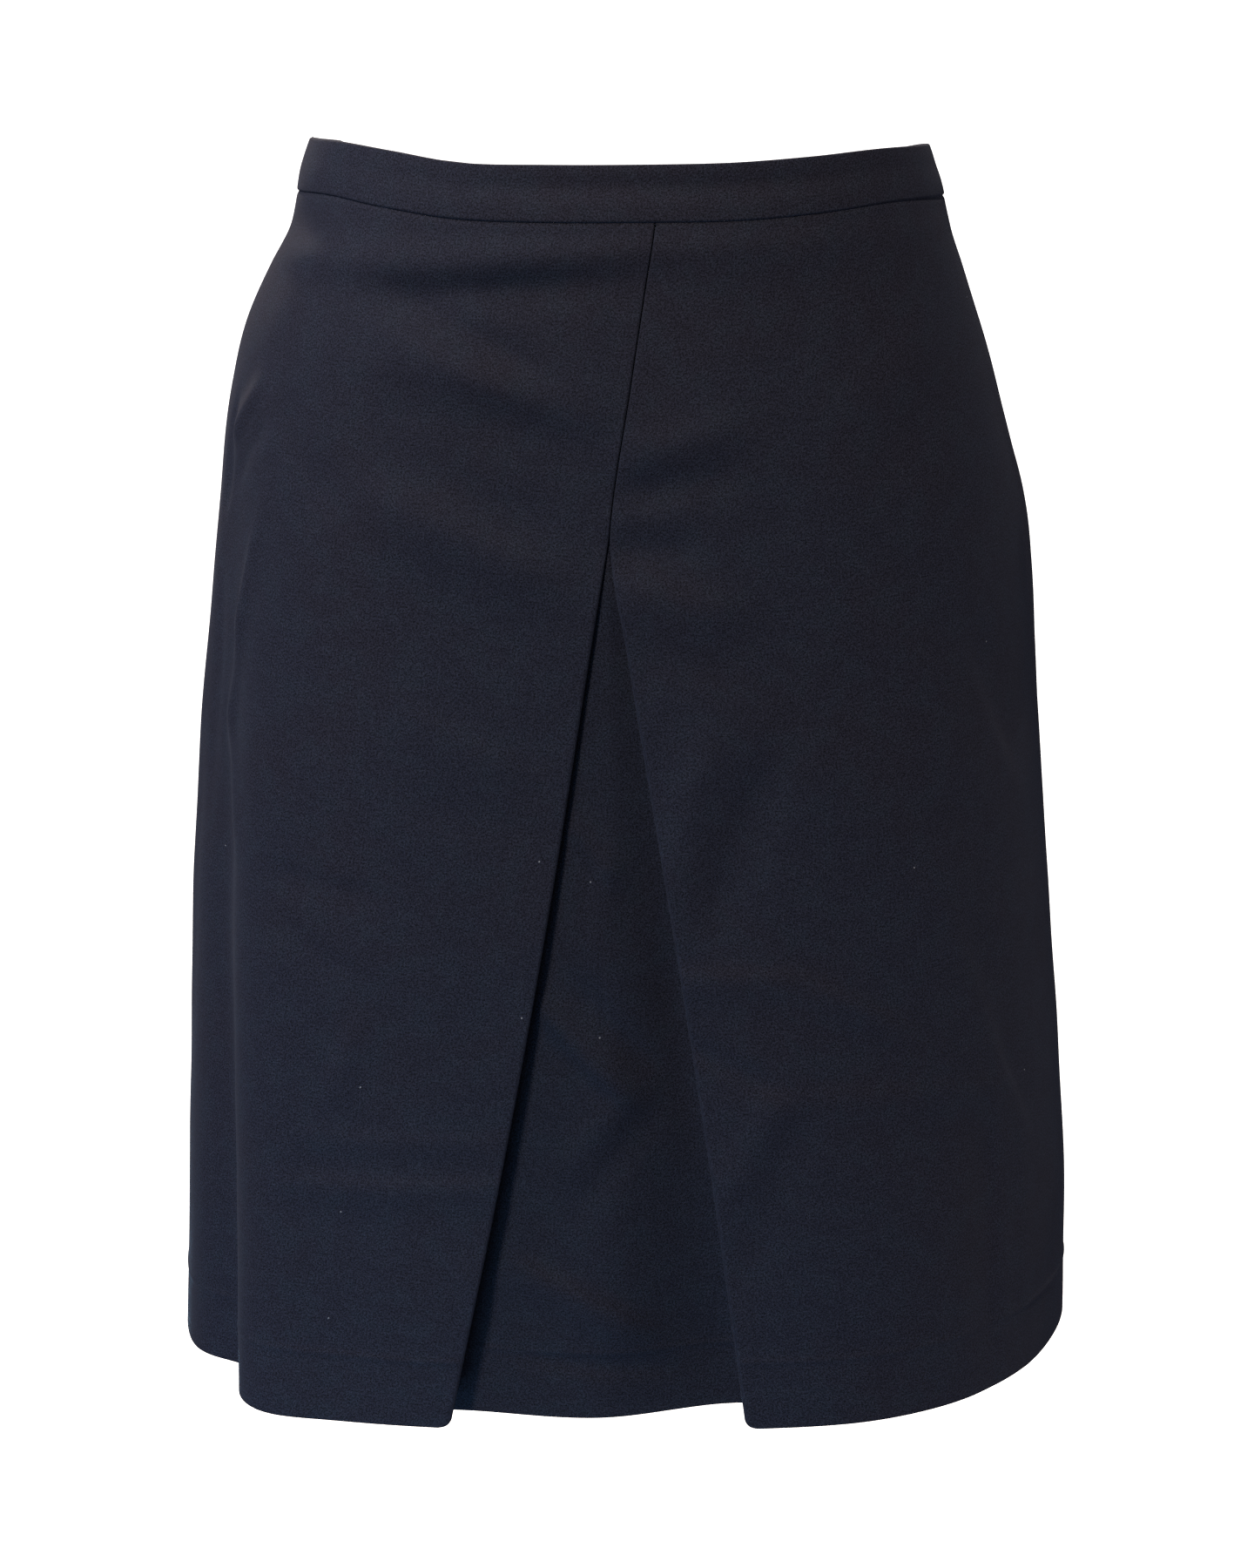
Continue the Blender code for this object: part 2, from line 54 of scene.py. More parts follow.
GAP = 0.3                       # between neighbouring pieces
BAND_GAP = 0.04                 # between the band's pieces, whose ends are sewn tight
HEM_LEVEL = -555.0
TWILL = 0.7                     # thickness of one layer of the twill
BAND_CLOTH = 2.4                # the waistband with its facing and interlining
BAND_HEIGHT = 24.6
BAND_MM_PER_DEGREE = 2.3        # round the waist, on average
BAND_PROUD = 0.5                # it stands out from the skirt by this much
BAND_SWELL = 0.25               # and swells a little in the middle of its height
BAND_END_ROLL = 0.6             # radius with which its ends roll into their seams
FACING_END = 0.4                # its facing's lower edge lies this far above its own
BAND_DISH = 1.9                 # it is dished this deep where it bends away from the waist
BAND_DISH_PLACE = (0.42, 14.0)  # middle of the dish: share of the height, and angle
BAND_DISH_SPREAD = (0.20, 56.0)
BAND_WAVE = 0.16                # unevenness along it
BAND_PUCKER = 0.03              # and beside its seam
LAYER_DROP = 0.35               # a folded layer starts this much lower for each mm inside
SEAM_ROLL = 1.15                # radius with which a panel's edge rolls into a seam
BAND_ROLL = 1.05                # and the waistband's lower edge
TUCK_HEIGHT = 8.0               # a panel's seam allowance goes up inside the band
TUCK_DEPTH = 0.45               # and lies this deep behind the panel's face
HEM_ROLL = 0.95                 # radius of the turned hem
HEM_ALLOWANCE = 31.0            # height of the hem's turning
HEM_MARK = (0.42, 1.6)          # height and half width of the ridge over the hem's stitches
PUCKER = (0.045, 5.0)           # height of the puckers beside a seam, and their reach from it
ALLOWANCE = 12.0                # width of a pressed-open seam allowance
ALLOWANCE_CLOTH = 0.40          # pressed thin
ALLOWANCE_DEPTH = 1.15          # it lies this deep inside the panel's face
ALLOWANCE_WAVE = 0.12           # and waves this much at its raw edge
ALLOWANCE_ROWS = 190
SIDE_SEAM = 97.0                # angle of the side seams, just behind the widest point
PANEL_LENGTH = 530.0            # centre front, from the waist seam to the hem

# The waist seam and the top edge, by angle. Both dip at the centre front and back.
WAIST_COLUMNS = ("angle", "seam", "top")
WAIST = (
    (-135, -27.0, -3.0),
    (-97, -16.3, 7.4),
    (-76, -15.0, 8.2),
    (-60, -15.2, 7.9),
    (-44, -19.0, 4.8),
    (-28, -23.2, 0.4),
    (-12, -24.2, -0.2),
    (5, -24.1, 0.0),
    (20, -23.6, 0.6),
    (36, -21.0, 2.8),
    (52, -17.6, 5.1),
    (76, -17.2, 5.6),
    (97, -17.8, 4.8),
    (135, -27.0, -3.5),
    (180, -36.5, -12.0),
)

# The form by level: half widths, depths to the front and back, where the widest point
# lies, and how flat the front and back run before they turn to the sides.
SECTION_COLUMNS = ("level", "right", "left", "front", "back", "widest", "flat")
SECTIONS = (
    (8, 139.0, 138.8, 99.0, 95.0, 2, 0.030),
    (-5, 143.2, 143.6, 102.4, 99.0, 2, 0.035),
    (-17, 145.8, 147.2, 106.0, 102.5, 3, 0.040),
    (-32, 149.2, 150.4, 109.5, 107.0, 4, 0.045),
    (-48, 158.4, 156.6, 111.6, 112.0, 6, 0.050),
    (-71, 169.2, 164.2, 115.0, 119.5, 8, 0.060),
    (-103, 177.6, 174.0, 119.4, 127.5, 10, 0.070),
    (-151, 184.6, 186.6, 123.8, 134.5, 12, 0.080),
    (-250, 194.2, 195.4, 131.4, 139.5, 13, 0.095),
    (-377, 203.2, 208.9, 138.2, 143.0, 15, 0.112),
    (-480, 208.0, 217.2, 143.2, 146.5, 16, 0.120),
    (-555, 211.6, 218.6, 147.0, 149.5, 17, 0.125),
)

# Large folds that run down to the hem: angle of the line at its top and at the hem, half
# width in degrees, the level where each fades out, and how far it stands out (+) or in (-)
# at the hem.
FLUTE_COLUMNS = ("top_angle", "angle", "spread", "start", "out")
FLUTES = (
    (-56, -48, 8, -60, 7.5),
    (-70, -63, 6, -70, -16.0),
    (58, 56, 23, -60, -8.8),
    (-141, -141, 10, -150, 7.0),
    (-121, -121, 11, -150, -8.0),
    (134, 134, 11, -170, 6.0),
    (155, 155, 10, -200, -6.0),
    (112, 112, 10, -220, -5.0),
)
FLUTE_GROWTH = 1.3              # above 1, a fold opens faster near the hem

# Creases in the cloth: where each starts and ends, how far it bows sideways, its half width,
# how many times wider its far side is (below a crease that runs to the left, and to the
# right of one that runs down), and how far it stands out (+) or in (-). It fades out at
# both ends.
CREASE_COLUMNS = ("from_angle", "from_level", "to_angle", "to_level", "bow", "width", "lean",
                  "out")
MM_PER_DEGREE = 3.3             # round the form, on average
CREASED = 1.45                  # depth of all creases together
CREASE_CORE = 0.2               # full for this share of its length either side of the middle
CREASE_FADE = 0.22              # and fading over about this share past that
HELD_DROP = 13.0                # the waist seam holds the cloth smooth for this far below it
RIPPLE_LENGTHS = (38.0, 128.0)
RIPPLE_HEIGHT = 0.0011          # as a share of its length
FRONT_CREASES = (
    # a roll of fullness just under the band, and the trough below it
    (-84, -37, 12, -34, 6, 8, 1.0, 1.8),
    (-10, -35, 88, -30, -2, 8, 1.8, 1.1),
    (-46, -56, 10, -46, 2, 7, 1.4, -1.0),
    (-34, -55, -4, -49, 0, 5, 1.6, -0.8),
    # wearer's right front: drag lines from hip to seam
    (-41, -51, -8, -91, -3, 6, 1.0, -1.2),
    (-44, -65, -10, -103, -3, 7, 1.0, 1.1),
    (-46, -80, 0, -107, -4, 10, 0.8, 1.2),
    (-42, -104, 2, -123, -3, 8, 1.8, -0.8),
    (-38, -116, -4, -160, -2, 9, 1.0, -0.8),
    (-40, -135, -5, -180, -2, 8, 1.8, 1.8),
    (-35, -165, -9, -208, 2, 12, 1.0, -0.35),
    (-58, -96, -40, -150, 3, 10, 1.0, -0.9),
    (-52, -304, -30, -314, 2, 4, 2.4, -0.7),
    (-50, -322, -34, -352, 3, 5, 2.0, -0.7),
    (-33, -365, -39, -412, 2, 5, 2.0, 0.7),
    (-46, -424, -9, -422, 1, 4, 2.6, 0.6),
    (-49, -447, -8, -441, 1, 4.2, 2.2, 1.1),
    (-46, -434, -16, -429, 1, 5, 1.0, -0.2),
    (-32, -226, -9, -262, 2, 6, 2.4, 0.8),
    (-30, -268, -8, -290, 0, 9, 1.0, -0.5),
    (-20, -470, -12, -520, 1, 6, 2.0, 0.7),
    # wearer's left front: pulls beside the seam, long soft folds below
    (-2, -125, 19, -108, 0, 9, 1.0, 1.5),
    (-1, -139, 18, -129, 0, 7, 1.2, -1.1),
    (-3, -149, 12, -144, 0, 6, 1.0, 0.7),
    (-2, -162, 12, -161, 0, 6, 1.2, -1.0),
    (-2, -176, 18, -192, 0, 10, 1.4, 2.2),
    (1, -208, 16, -216, 0, 9, 1.0, -0.6),
    (13, -234, 6, -326, 3, 10, 1.0, 1.6),
    (22, -240, 11, -338, 4, 9, 1.4, -2.0),
    (3, -350, 26, -351, -2, 4.2, 2.6, 1.2),
    (22, -350, 40, -380, -1, 4.2, 2.4, 1.2),
    (5, -373, 22, -403, 0, 5, 1.0, -0.9),
    (22, -395, 12, -456, 2, 8, 1.0, 1.3),
    (24, -402, 14, -500, 3, 8, 1.6, -0.9),
    (14, -404, 64, -413, -3, 4, 2.8, 0.8),
    (34, -188, 52, -232, 3, 13, 1.0, 0.8),
    (41, -222, 66, -312, 3, 14, 1.0, 0.5),
    (54, -198, 71, -276, 3, 8, 2.2, -1.3),
    (44, -304, 64, -420, 4, 13, 1.0, 0.5),
    (49, -314, 67, -434, 4, 8, 2.2, -1.3),
    (56, -382, 67, -440, 1, 4, 2.4, -0.6),
    (53, -404, 55, -550, 1, 14, 0.5, -1.5),
    (63, -410, 65, -550, 2, 8, 1.0, 0.6),
    (77, -85, 86, -330, -3, 6, 1.0, 1.1),
    (60, -70, 30, -112, 3, 12, 1.0, 0.9),
    (62, -95, 34, -138, 3, 12, 1.0, -0.8),
    # wearer's right hip
    (-62, -96, -75, -130, 2, 5, 1.6, 1.8),
    (-58, -110, -72, -146, 2, 6, 1.0, -1.2),
    (-74, -104, -75, -160, 0, 6, 1.0, -1.2),
    (-58, -146, -64, -220, 1, 5, 1.4, 1.2),
    (-62, -180, -68, -266, -1, 5, 1.4, 1.3),
    (-68, -224, -60, -312, 1, 6, 1.4, 1.3),
    (-73, -170, -74, -300, 0, 7, 1.0, -0.9),
    (-80, -190, -82, -420, 4, 9, 1.0, 1.1),
)
BACK_CREASES = (
    (100, -34, 178, -50, -3, 7, 1.0, 1.3),
    (-178, -50, -100, -33, 3, 7, 1.0, 1.3),
    (142, -58, 182, -61, 0, 7, 1.4, -1.8),
    (-180, -62, -138, -56, 2, 7, 1.4, -1.7),
    (122, -72, 174, -106, 4, 9, 1.6, 2.0),
    (-174, -110, -126, -82, -3, 9, 1.6, 1.9),
    (128, -90, 168, -130, 3, 10, 1.4, -1.6),
    (-168, -138, -130, -104, 2, 10, 1.4, -1.5),
    (132, -150, 166, -190, 3, 9, 1.8, 1.3),
    (-164, -196, -128, -166, 2, 9, 1.8, 1.2),
    (140, -222, 128, -335, 4, 11, 1.4, 1.9),
    (147, -235, 136, -342, 4, 10, 1.0, -1.5),
    (-150, -208, -134, -335, -4, 11, 1.4, 1.7),
    (-157, -225, -142, -340, -4, 11, 1.0, -1.4),
    (166, -296, 158, -436, 4, 12, 1.2, -1.9),
    (171, -290, 165, -424, 4, 10, 1.0, 1.3),
    (-168, -296, -156, -446, -3, 12, 1.2, -1.7),
    (-174, -310, -163, -440, -3, 10, 1.0, 1.2),
    (116, -380, 152, -392, 3, 4.2, 2.4, 1.0),
    (-150, -413, -114, -402, 3, 4.2, 2.4, 1.0),
    (148, -474, 120, -464, 3, 5, 2.0, 0.9),
    (-142, -90, -106, -66, 2, 9, 1.4, 1.2),
    (102, -72, 130, -96, 2, 9, 1.4, 1.2),
    (-112, -250, -100, -365, 3, 10, 1.0, 1.1),
    (108, -240, 118, -355, -3, 10, 1.0, 1.1),
)
UNDERLAY_CREASES = (
    (-12, -352, 3, -410, 2, 4, 2.0, 2.2),
    (-7, -344, 6, -396, 2, 6, 1.0, -1.2),
    (3, -396, -9, -450, 2, 6, 1.0, 1.0),
    (6, -404, -6, -464, 2, 5, 1.4, -1.0),
    (-15, -480, 6, -522, -2, 6, 1.8, 2.1),
    (-14, -526, 9, -534, 0, 5, 1.0, -1.1),
    (-8, -274, 1, -308, 1, 4, 2.0, 0.9),
    (-1, -290, -4, -352, 2, 8, 1.0, 0.9),
    (6, -328, 10, -434, 2, 8, 1.0, -0.9),
)

# The front seam and the pleat: sideways place of the seam or the pleat's middle, half the
# width between the folded edges, and the width turned under behind each.
PLEAT_COLUMNS = ("level", "middle", "half_open", "turned_under")
PLEAT = (
    (-24, 15.9, 0.0, 20),
    (-91, 5.5, 0.0, 24),
    (-156, -3.8, 0.0, 28),
    (-209, -4.2, 8.2, 31),
    (-300, -3.9, 22.9, 36),
    (-437, -5.5, 45.9, 41),
    (-555, -9.4, 66.2, 45),
)
PLEAT_TOP = -156.0
FOLD_RADII = (0.9, 1.6, 2.0)    # outside of the fold: at the seam, down the pleat, at the hem
FOLD_OPENS = 0.12               # share of the pleat's length over which it gets from the first
FOLD_FULLS = (70.0, 35.0)       # height over the hem at which the last starts, and its fade
CORNER = 4.2                    # rounding of the pleat's corners at the hem
CORNER_END = 0.96               # share of a quarter circle's height at which it stops
# How far the underlay lies behind the front at the hem: at its outer edges, behind the
# folded edges and in the middle.
UNDERLAY_RECESS = {"edge": 9.0, "right_fold": 16.5, "middle": 9.5, "left_fold": 25.0}
UNDERLAY_FREE = 0.35            # share of the pleat's length over which it comes off the fronts

# Back darts: share of the way from the side seam to the centre back, and length.
DARTS = ((0.36, 92.0), (0.66, 112.0))
DART_DEPTH = 0.45
DART_HALF_WIDTH = 0.7
DART_FADE = 18.0                # it dies out over this length

# Zip at the centre back. Each drop is measured down from the top edge, but the first from
# the waist seam.
ZIP_END = -206.5                # level of its lower end
ZIP_EASE_DROP = 14.0            # from here down the zip lies against the backs
ZIP_EASE = 10.0                 # and from this much higher it lies against the band
ZIP_DEPTH = 1.9                 # inside the backs' face
ZIP_PULL = (0.22, 14.0)         # height of the waves in the backs beside it, and their reach
TAPE_EDGES = (1.1, 12.0)        # from the centre back
TAPE_CLOTH = 0.5
TAPE_RIDGE = (0.10, 0.8)        # height and half width where the tape's inner edge is folded
TAPE_WAVE = 0.08                # its unevenness along its length
TAPE_TOP_DROP = 4.0
COIL_TOP_DROP = 14.4
COIL_PITCH = 1.25
COIL_WIRE = 0.3                 # radius
COIL_TURN = (1.1, 0.5)          # half width and half depth of a turn
COIL_OFF_CENTRE = 0.85          # each coil's middle from the centre back
COIL_OFF_TAPE = 0.65            # and from the tape's inside
NOTCH_HALF_WIDTH = 1.2          # the band's ends part by this each side at the slider
NOTCH_FULL_DROP = 11.0          # fully down to here
NOTCH_END_DROP = 16.0           # and no more from here

# Stitches: their spacing or length and gap along a row, how far they rise off the cloth, and
# the radius of the thread.
HEM_STITCH_PITCH = 7.0
HEM_STITCH_ENDS = (1.6, -2.2)   # above the hem's raw edge, and below it
HEM_THREAD = 0.16
TAPE_STITCH = {"length": 2.1, "gap": 0.6, "lift": 0.14}
TAPE_STITCH_PLACES = (-10.6, -5.4, 5.4, 10.6)   # from the centre back
FACING_STITCH = {"length": 2.2, "gap": 0.7, "lift": 0.14}
FACING_STITCH_RISE = 2.0        # above the waist seam
SEWING_THREAD = 0.15


# ---------------------------------------------------------------------------- the skirt's form

def smooth_through(rows, x):
    """Smooth curve through rows of (x, value), read at x: a Hermite curve whose slope at
    each row is the slope between that row's neighbours."""
    points = np.array(sorted(rows), dtype=float)
    xs, ys = points[:, 0], points[:, 1]
    slopes = np.gradient(ys, xs)
    x = np.clip(np.asarray(x, dtype=float), xs[0], xs[-1])
    i = np.clip(np.searchsorted(xs, x) - 1, 0, len(xs) - 2)
    span = xs[i + 1] - xs[i]
    t = (x - xs[i]) / span
    a = (1 + 2 * t) * (1 - t) ** 2 * ys[i] + t * (1 - t) ** 2 * span * slopes[i]
    b = t * t * (3 - 2 * t) * ys[i + 1] + t * t * (t - 1) * span * slopes[i + 1]
    return a + b


def column(table, columns, name, level):
    """One column of a table, read smoothly at the given levels."""
    k = columns.index(name)
    return smooth_through([(row[0], row[k]) for row in table], level)


def waist_line(name, angle):
    """Level of the waist seam or the top edge, read smoothly all the way round."""
    k = WAIST_COLUMNS.index(name)
    rows = [(row[0] + turn, row[k]) for turn in (-360, 0, 360) for row in WAIST]
    return smooth_through(rows, angle)


def ease(x):
    """0 below 0, 1 above 1, and a smooth S between."""
    x = np.clip(x, 0.0, 1.0)
    return x * x * (3 - 2 * x)


def ring(angle, level):
    """Plan point of the plain form: a rounded ring. Its half width blends from the right
    side's to the left side's with the sine of the angle, and its depth from the back's to
    the front's with the cosine. A part of the cosine of three times the angle, taken off the
    depth's cosine and made up for, flattens the front and back."""
    turn = np.radians(angle)
    row = {name: column(SECTIONS, SECTION_COLUMNS, name, level) for name in SECTION_COLUMNS[1:]}
    sine, cosine = np.sin(turn), np.cos(turn)
    half_width = (row["left"] + row["right"]) / 2 + (row["left"] - row["right"]) / 2 * sine
    depth = (row["front"] + row["back"]) / 2 + (row["front"] - row["back"]) / 2 * cosine
    x = half_width * sine
    reach = depth + row["widest"] * cosine
    y = row["widest"] - reach * ((1 + row["flat"]) * cosine - row["flat"] * np.cos(3 * turn))
    return x, y


def outward(angle, level):
    """Unit plan direction pointing out of the plain form, square to its ring."""
    step = 0.05
    x0, y0 = ring(angle - step, level)
    x1, y1 = ring(angle + step, level)
    along = np.hypot(x1 - x0, y1 - y0)
    return (y1 - y0) / along, -(x1 - x0) / along


def around(angle, line):
    """Angle from a line, the short way round."""
    return (angle - line + 180.0) % 360.0 - 180.0


def fold_out(angle, level):
    """How far the large folds stand out of the plain form: bell curves round the form, which
    grow as a power of the share of the way from their start to the hem."""
    total = np.zeros(np.broadcast(angle, level).shape)
    for row in FLUTES:
        fold = dict(zip(FLUTE_COLUMNS, row))
        grown = np.clip((fold["start"] - level) / (fold["start"] - HEM_LEVEL), 0.0, 1.0)
        line = fold["top_angle"] + (fold["angle"] - fold["top_angle"]) * grown
        bell = np.exp(-((around(angle, line) / fold["spread"]) ** 2))
        total += fold["out"] * grown ** FLUTE_GROWTH * bell
    return total


def crease_out(table, angle, level):
    """How far creases stand out: lopsided bell curves beside each crease's bowed line, which
    are full over its middle and fade towards and past both ends."""
    total = np.zeros(np.broadcast(angle, level).shape)
    for row in table:
        crease = dict(zip(CREASE_COLUMNS, row))
        across = around(angle, crease["from_angle"]) * MM_PER_DEGREE
        drop = level - crease["from_level"]
        run = (crease["to_angle"] - crease["from_angle"]) * MM_PER_DEGREE
        fall = crease["to_level"] - crease["from_level"]
        length = math.hypot(run, fall)
        along = (across * run + drop * fall) / length ** 2
        beside = (across * fall - drop * run) / length
        beside = beside - crease["bow"] * (1 - (2 * along - 1) ** 2)
        far_side = 1 + (crease["lean"] - 1) * (beside * np.where(fall < -abs(run), -1, 1) > 0)
        past_end = np.maximum(np.abs(along - 0.5) - CREASE_CORE, 0.0)
        total += crease["out"] * np.exp(-((past_end / CREASE_FADE) ** 2)
                                        - (beside / (crease["width"] * far_side)) ** 2)
    return CREASED * total


RIPPLES = np.random.default_rng(7).uniform(size=(14, 3))


def ripple_out(angle, level):
    """Slight unevenness of hung cloth: a sum of faint waves with seeded directions, lengths
    and phases, each as high as a set share of its length."""
    across = angle * MM_PER_DEGREE
    shortest, longest = RIPPLE_LENGTHS
    total = np.zeros(np.broadcast(angle, level).shape)
    for heading, size, phase in RIPPLES:
        length = shortest + (longest - shortest) * size
        turn = 2 * math.pi * heading
        wave = (across * math.cos(turn) + level * math.sin(turn)) / length + phase
        total += RIPPLE_HEIGHT * length * np.sin(2 * math.pi * wave)
    return total


def form(angle, level, depth=0.0, creases=FRONT_CREASES + BACK_CREASES, creased=1.0):
    """Points of the skirt's form, or of a layer that lies the given depth inside it."""
    angle, level, depth, creased = np.broadcast_arrays(angle, level, depth, creased)
    x, y = ring(angle, level)
    nx, ny = outward(angle, level)
    held = ease((waist_line("seam", angle) - level) / HELD_DROP)
    soft = crease_out(creases, angle, level) + ripple_out(angle, level)
    out = fold_out(angle, level) + creased * held * soft - depth
    return np.stack([x + nx * out, y + ny * out, level], axis=-1)


def angle_at(x, level):
    """Angle on the front of the form at a sideways place: the sine is the place as a share
    of the half width, which itself depends on the sine, so a few rounds settle it."""
    left = column(SECTIONS, SECTION_COLUMNS, "left", level)
    right = column(SECTIONS, SECTION_COLUMNS, "right", level)
    mean, half = (left + right) / 2, (left - right) / 2
    sine = x / mean
    for _ in range(4):
        sine = x / (mean + half * sine)
    return np.degrees(np.arcsin(sine))


def angle_step(angle, level, distance):
    """Angle that a distance along the form covers there."""
    x0, y0 = ring(angle - 0.5, level)
    x1, y1 = ring(angle + 0.5, level)
    return distance / np.hypot(x1 - x0, y1 - y0)


# -------------------------------------------------------------------------- laying out a grid

def steps(start, end, size):
    """Even places from start, left out, to end, about a size apart."""
    count = max(1, round(abs(end - start) / size))
    return np.linspace(start, end, count + 1)[1:]


ROLL_COLUMNS = 4                # of a panel's edge that rolls into a seam


def rolled(radius, count=ROLL_COLUMNS):
    """A quarter turn into a seam: distances from the edge and depths, from the edge on."""
    turn = np.linspace(0.0, math.pi / 2, count + 1)
    return radius * (1 - np.cos(turn)), radius * (1 - np.sin(turn))


def hemmed_rows():
    """Rows of a hemmed panel: distance below the waist seam and distance inside the cloth's
    face. They start inside the band, come out at the seam, run down, turn round the hem and
    go up behind it. Above the seam the distance below is negative."""
    tuck = np.array([-TUCK_HEIGHT, -5.0, -2.5, -1.0, -0.4, 0.0, 0.35, 0.75, 1.2])
    tuck_in = TUCK_DEPTH * ease((1.5 - tuck) / 1.5)
    end = PANEL_LENGTH - HEM_ROLL
    hem_line = PANEL_LENGTH - HEM_ALLOWANCE
    marks = (tuck[-1], 7.0, hem_line - 3.0, hem_line + 3.0, end - 6.0, end)
    spacings = (0.9, 2.6, 0.75, 2.4, 0.7)
    face = np.concatenate([steps(start, stop, size)
                           for start, stop, size in zip(marks, marks[1:], spacings)])
    turn = np.linspace(0.0, math.pi, 9)[1:]
    behind = steps(end, hem_line, 3.0)
    down = np.concatenate([tuck, face, end + HEM_ROLL * np.sin(turn), behind])
    inside = np.concatenate([tuck_in, np.zeros(len(face)), HEM_ROLL * (1 - np.cos(turn)),
                             np.full(len(behind), 2 * HEM_ROLL)])
    return down[:, None], inside[:, None]


def laid(surface, share, inside):
    """Points of a surface read at each row's share, moved inside along its own normals,
    which are the cross product of small steps down and across it."""
    place = surface(share)
    down = surface(share + 0.0008) - surface(share - 0.0008)
    across = np.gradient(place, axis=1)
    normal = np.cross(down, across)
    normal /= np.linalg.norm(normal, axis=-1, keepdims=True)
    return place - normal * inside[..., None]


def panel_levels(angle, depth, share):
    """Levels of a panel's rows, given as shares of the way from the waist seam to the hem.
    A layer that lies deeper starts lower, because the band above leans outwards, and only
    the outer layer goes up into the band."""
    top = waist_line("seam", angle) - GAP - LAYER_DROP * (depth + BAND_PROUD)
    outer_layer = 1 - 0.97 * ease(np.asarray(depth) / 0.5)
    share = np.where(share < 0, share * outer_layer, share)
    return top + (HEM_LEVEL - top) * share


def hem_mark(share):
    """The faint ridge that the hem's blind stitching leaves on the right side."""
    height, half_width = HEM_MARK
    off = (share * PANEL_LENGTH - (PANEL_LENGTH - HEM_ALLOWANCE)) / half_width
    return height * np.exp(-off ** 2) * (share < 1.0)


def seam_pull(off_seam, level):
    """Small puckers beside a seam: two waves, 12 and 19 mm long, that die out within 9 mm."""
    height, reach = PUCKER
    wave = np.sin(level / 1.9) + 0.6 * np.sin(level / 3.1 + 1.3)
    return height * wave * np.exp(-((off_seam / reach) ** 2))


# ------------------------------------------------------------------------------- meshes

def mesh_piece(name, points, faces, material):
    """A mesh from an array of points in millimetres and a list of faces."""
    mesh = bpy.data.meshes.new(name)
    mesh.from_pydata((points * MM).tolist(), [], faces)
    mesh.materials.append(material)
    mesh.shade_smooth()
    piece = bpy.data.objects.new(name, mesh)
    bpy.context.scene.collection.objects.link(piece)
    return piece


def grid_normals(points):
    """Unit normals of a grid, out of the cloth's right side."""
    normal = np.cross(np.gradient(points, axis=0), np.gradient(points, axis=1))
    return normal / np.maximum(np.linalg.norm(normal, axis=-1, keepdims=True), 1e-12)


def run_length(points, axis):
    """Distance run along a grid's rows or columns."""
    step = np.linalg.norm(np.diff(points, axis=axis), axis=-1)
    start = np.zeros_like(np.take(step, [0], axis=axis))
    return np.concatenate([start, np.cumsum(step, axis=axis)], axis=axis)


def cloth(name, points, material, thickness=TWILL, grain_column=0, free_edge=None):
    """A cloth piece: the grid is its right side, its wrong side is the grid moved along its
    own normals by the thickness, and four rims close it. The UV map holds the flat place in
    metres, with the grain running down the grain column, and the attribute 'to_edge' the
    distance in millimetres to the nearest overlocked edge."""
    rows, columns = points.shape[:2]
    wrong = points - grid_normals(points) * thickness
    index = np.arange(rows * columns).reshape(rows, columns)
    behind = index + rows * columns
    front_cells = (index[:-1, :-1], index[1:, :-1], index[1:, 1:], index[:-1, 1:])
    rear_cells = (behind[:-1, :-1], behind[:-1, 1:], behind[1:, 1:], behind[1:, :-1])
    faces = [np.stack(cells, axis=-1).reshape(-1, 4) for cells in (front_cells, rear_cells)]
    for edge in (index[0, :], index[:, -1], index[-1, ::-1], index[::-1, 0]):
        deep = edge + rows * columns
        faces.append(np.stack([edge[:-1], edge[1:], deep[1:], deep[:-1]], axis=-1))
    faces = np.concatenate(faces)
    piece = mesh_piece(name, np.concatenate([points.reshape(-1, 3), wrong.reshape(-1, 3)]),
                       faces.tolist(), material)
    across = run_length(points, 1)
    across = across - across[:, [grain_column]]
    flat = np.stack([across, -run_length(points, 0)], axis=-1).reshape(-1, 2) * MM
    flat = np.concatenate([flat, flat])
    layer = piece.data.uv_layers.new(name="cut")
    layer.data.foreach_set("uv", flat[faces.ravel()].astype(np.float32).ravel())
    to_edge = np.full((rows, columns), FAR) if free_edge is None else free_edge
    attribute = piece.data.attributes.new("to_edge", "FLOAT", "POINT")
    attribute.data.foreach_set("value", np.tile(to_edge.ravel(), 2).astype(np.float32))
    cells = np.cross(points[1:, :-1] - points[:-1, :-1], points[:-1, 1:] - points[:-1, :-1])
    piece["cut_area"] = float(np.linalg.norm(cells, axis=-1).sum()) * MM * MM
    piece["cut_width"] = float(run_length(points, 1)[:, -1].max()) * MM
    piece["cut_length"] = float(run_length(points, 0)[-1].max()) * MM
    return piece


def sewn_in(piece, node):
    """Attach a cloth piece to the skirt's body, and hide the CAD node that it stands for if there
    is one."""
    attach(piece, "skirt")
    if node:
        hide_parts(node)


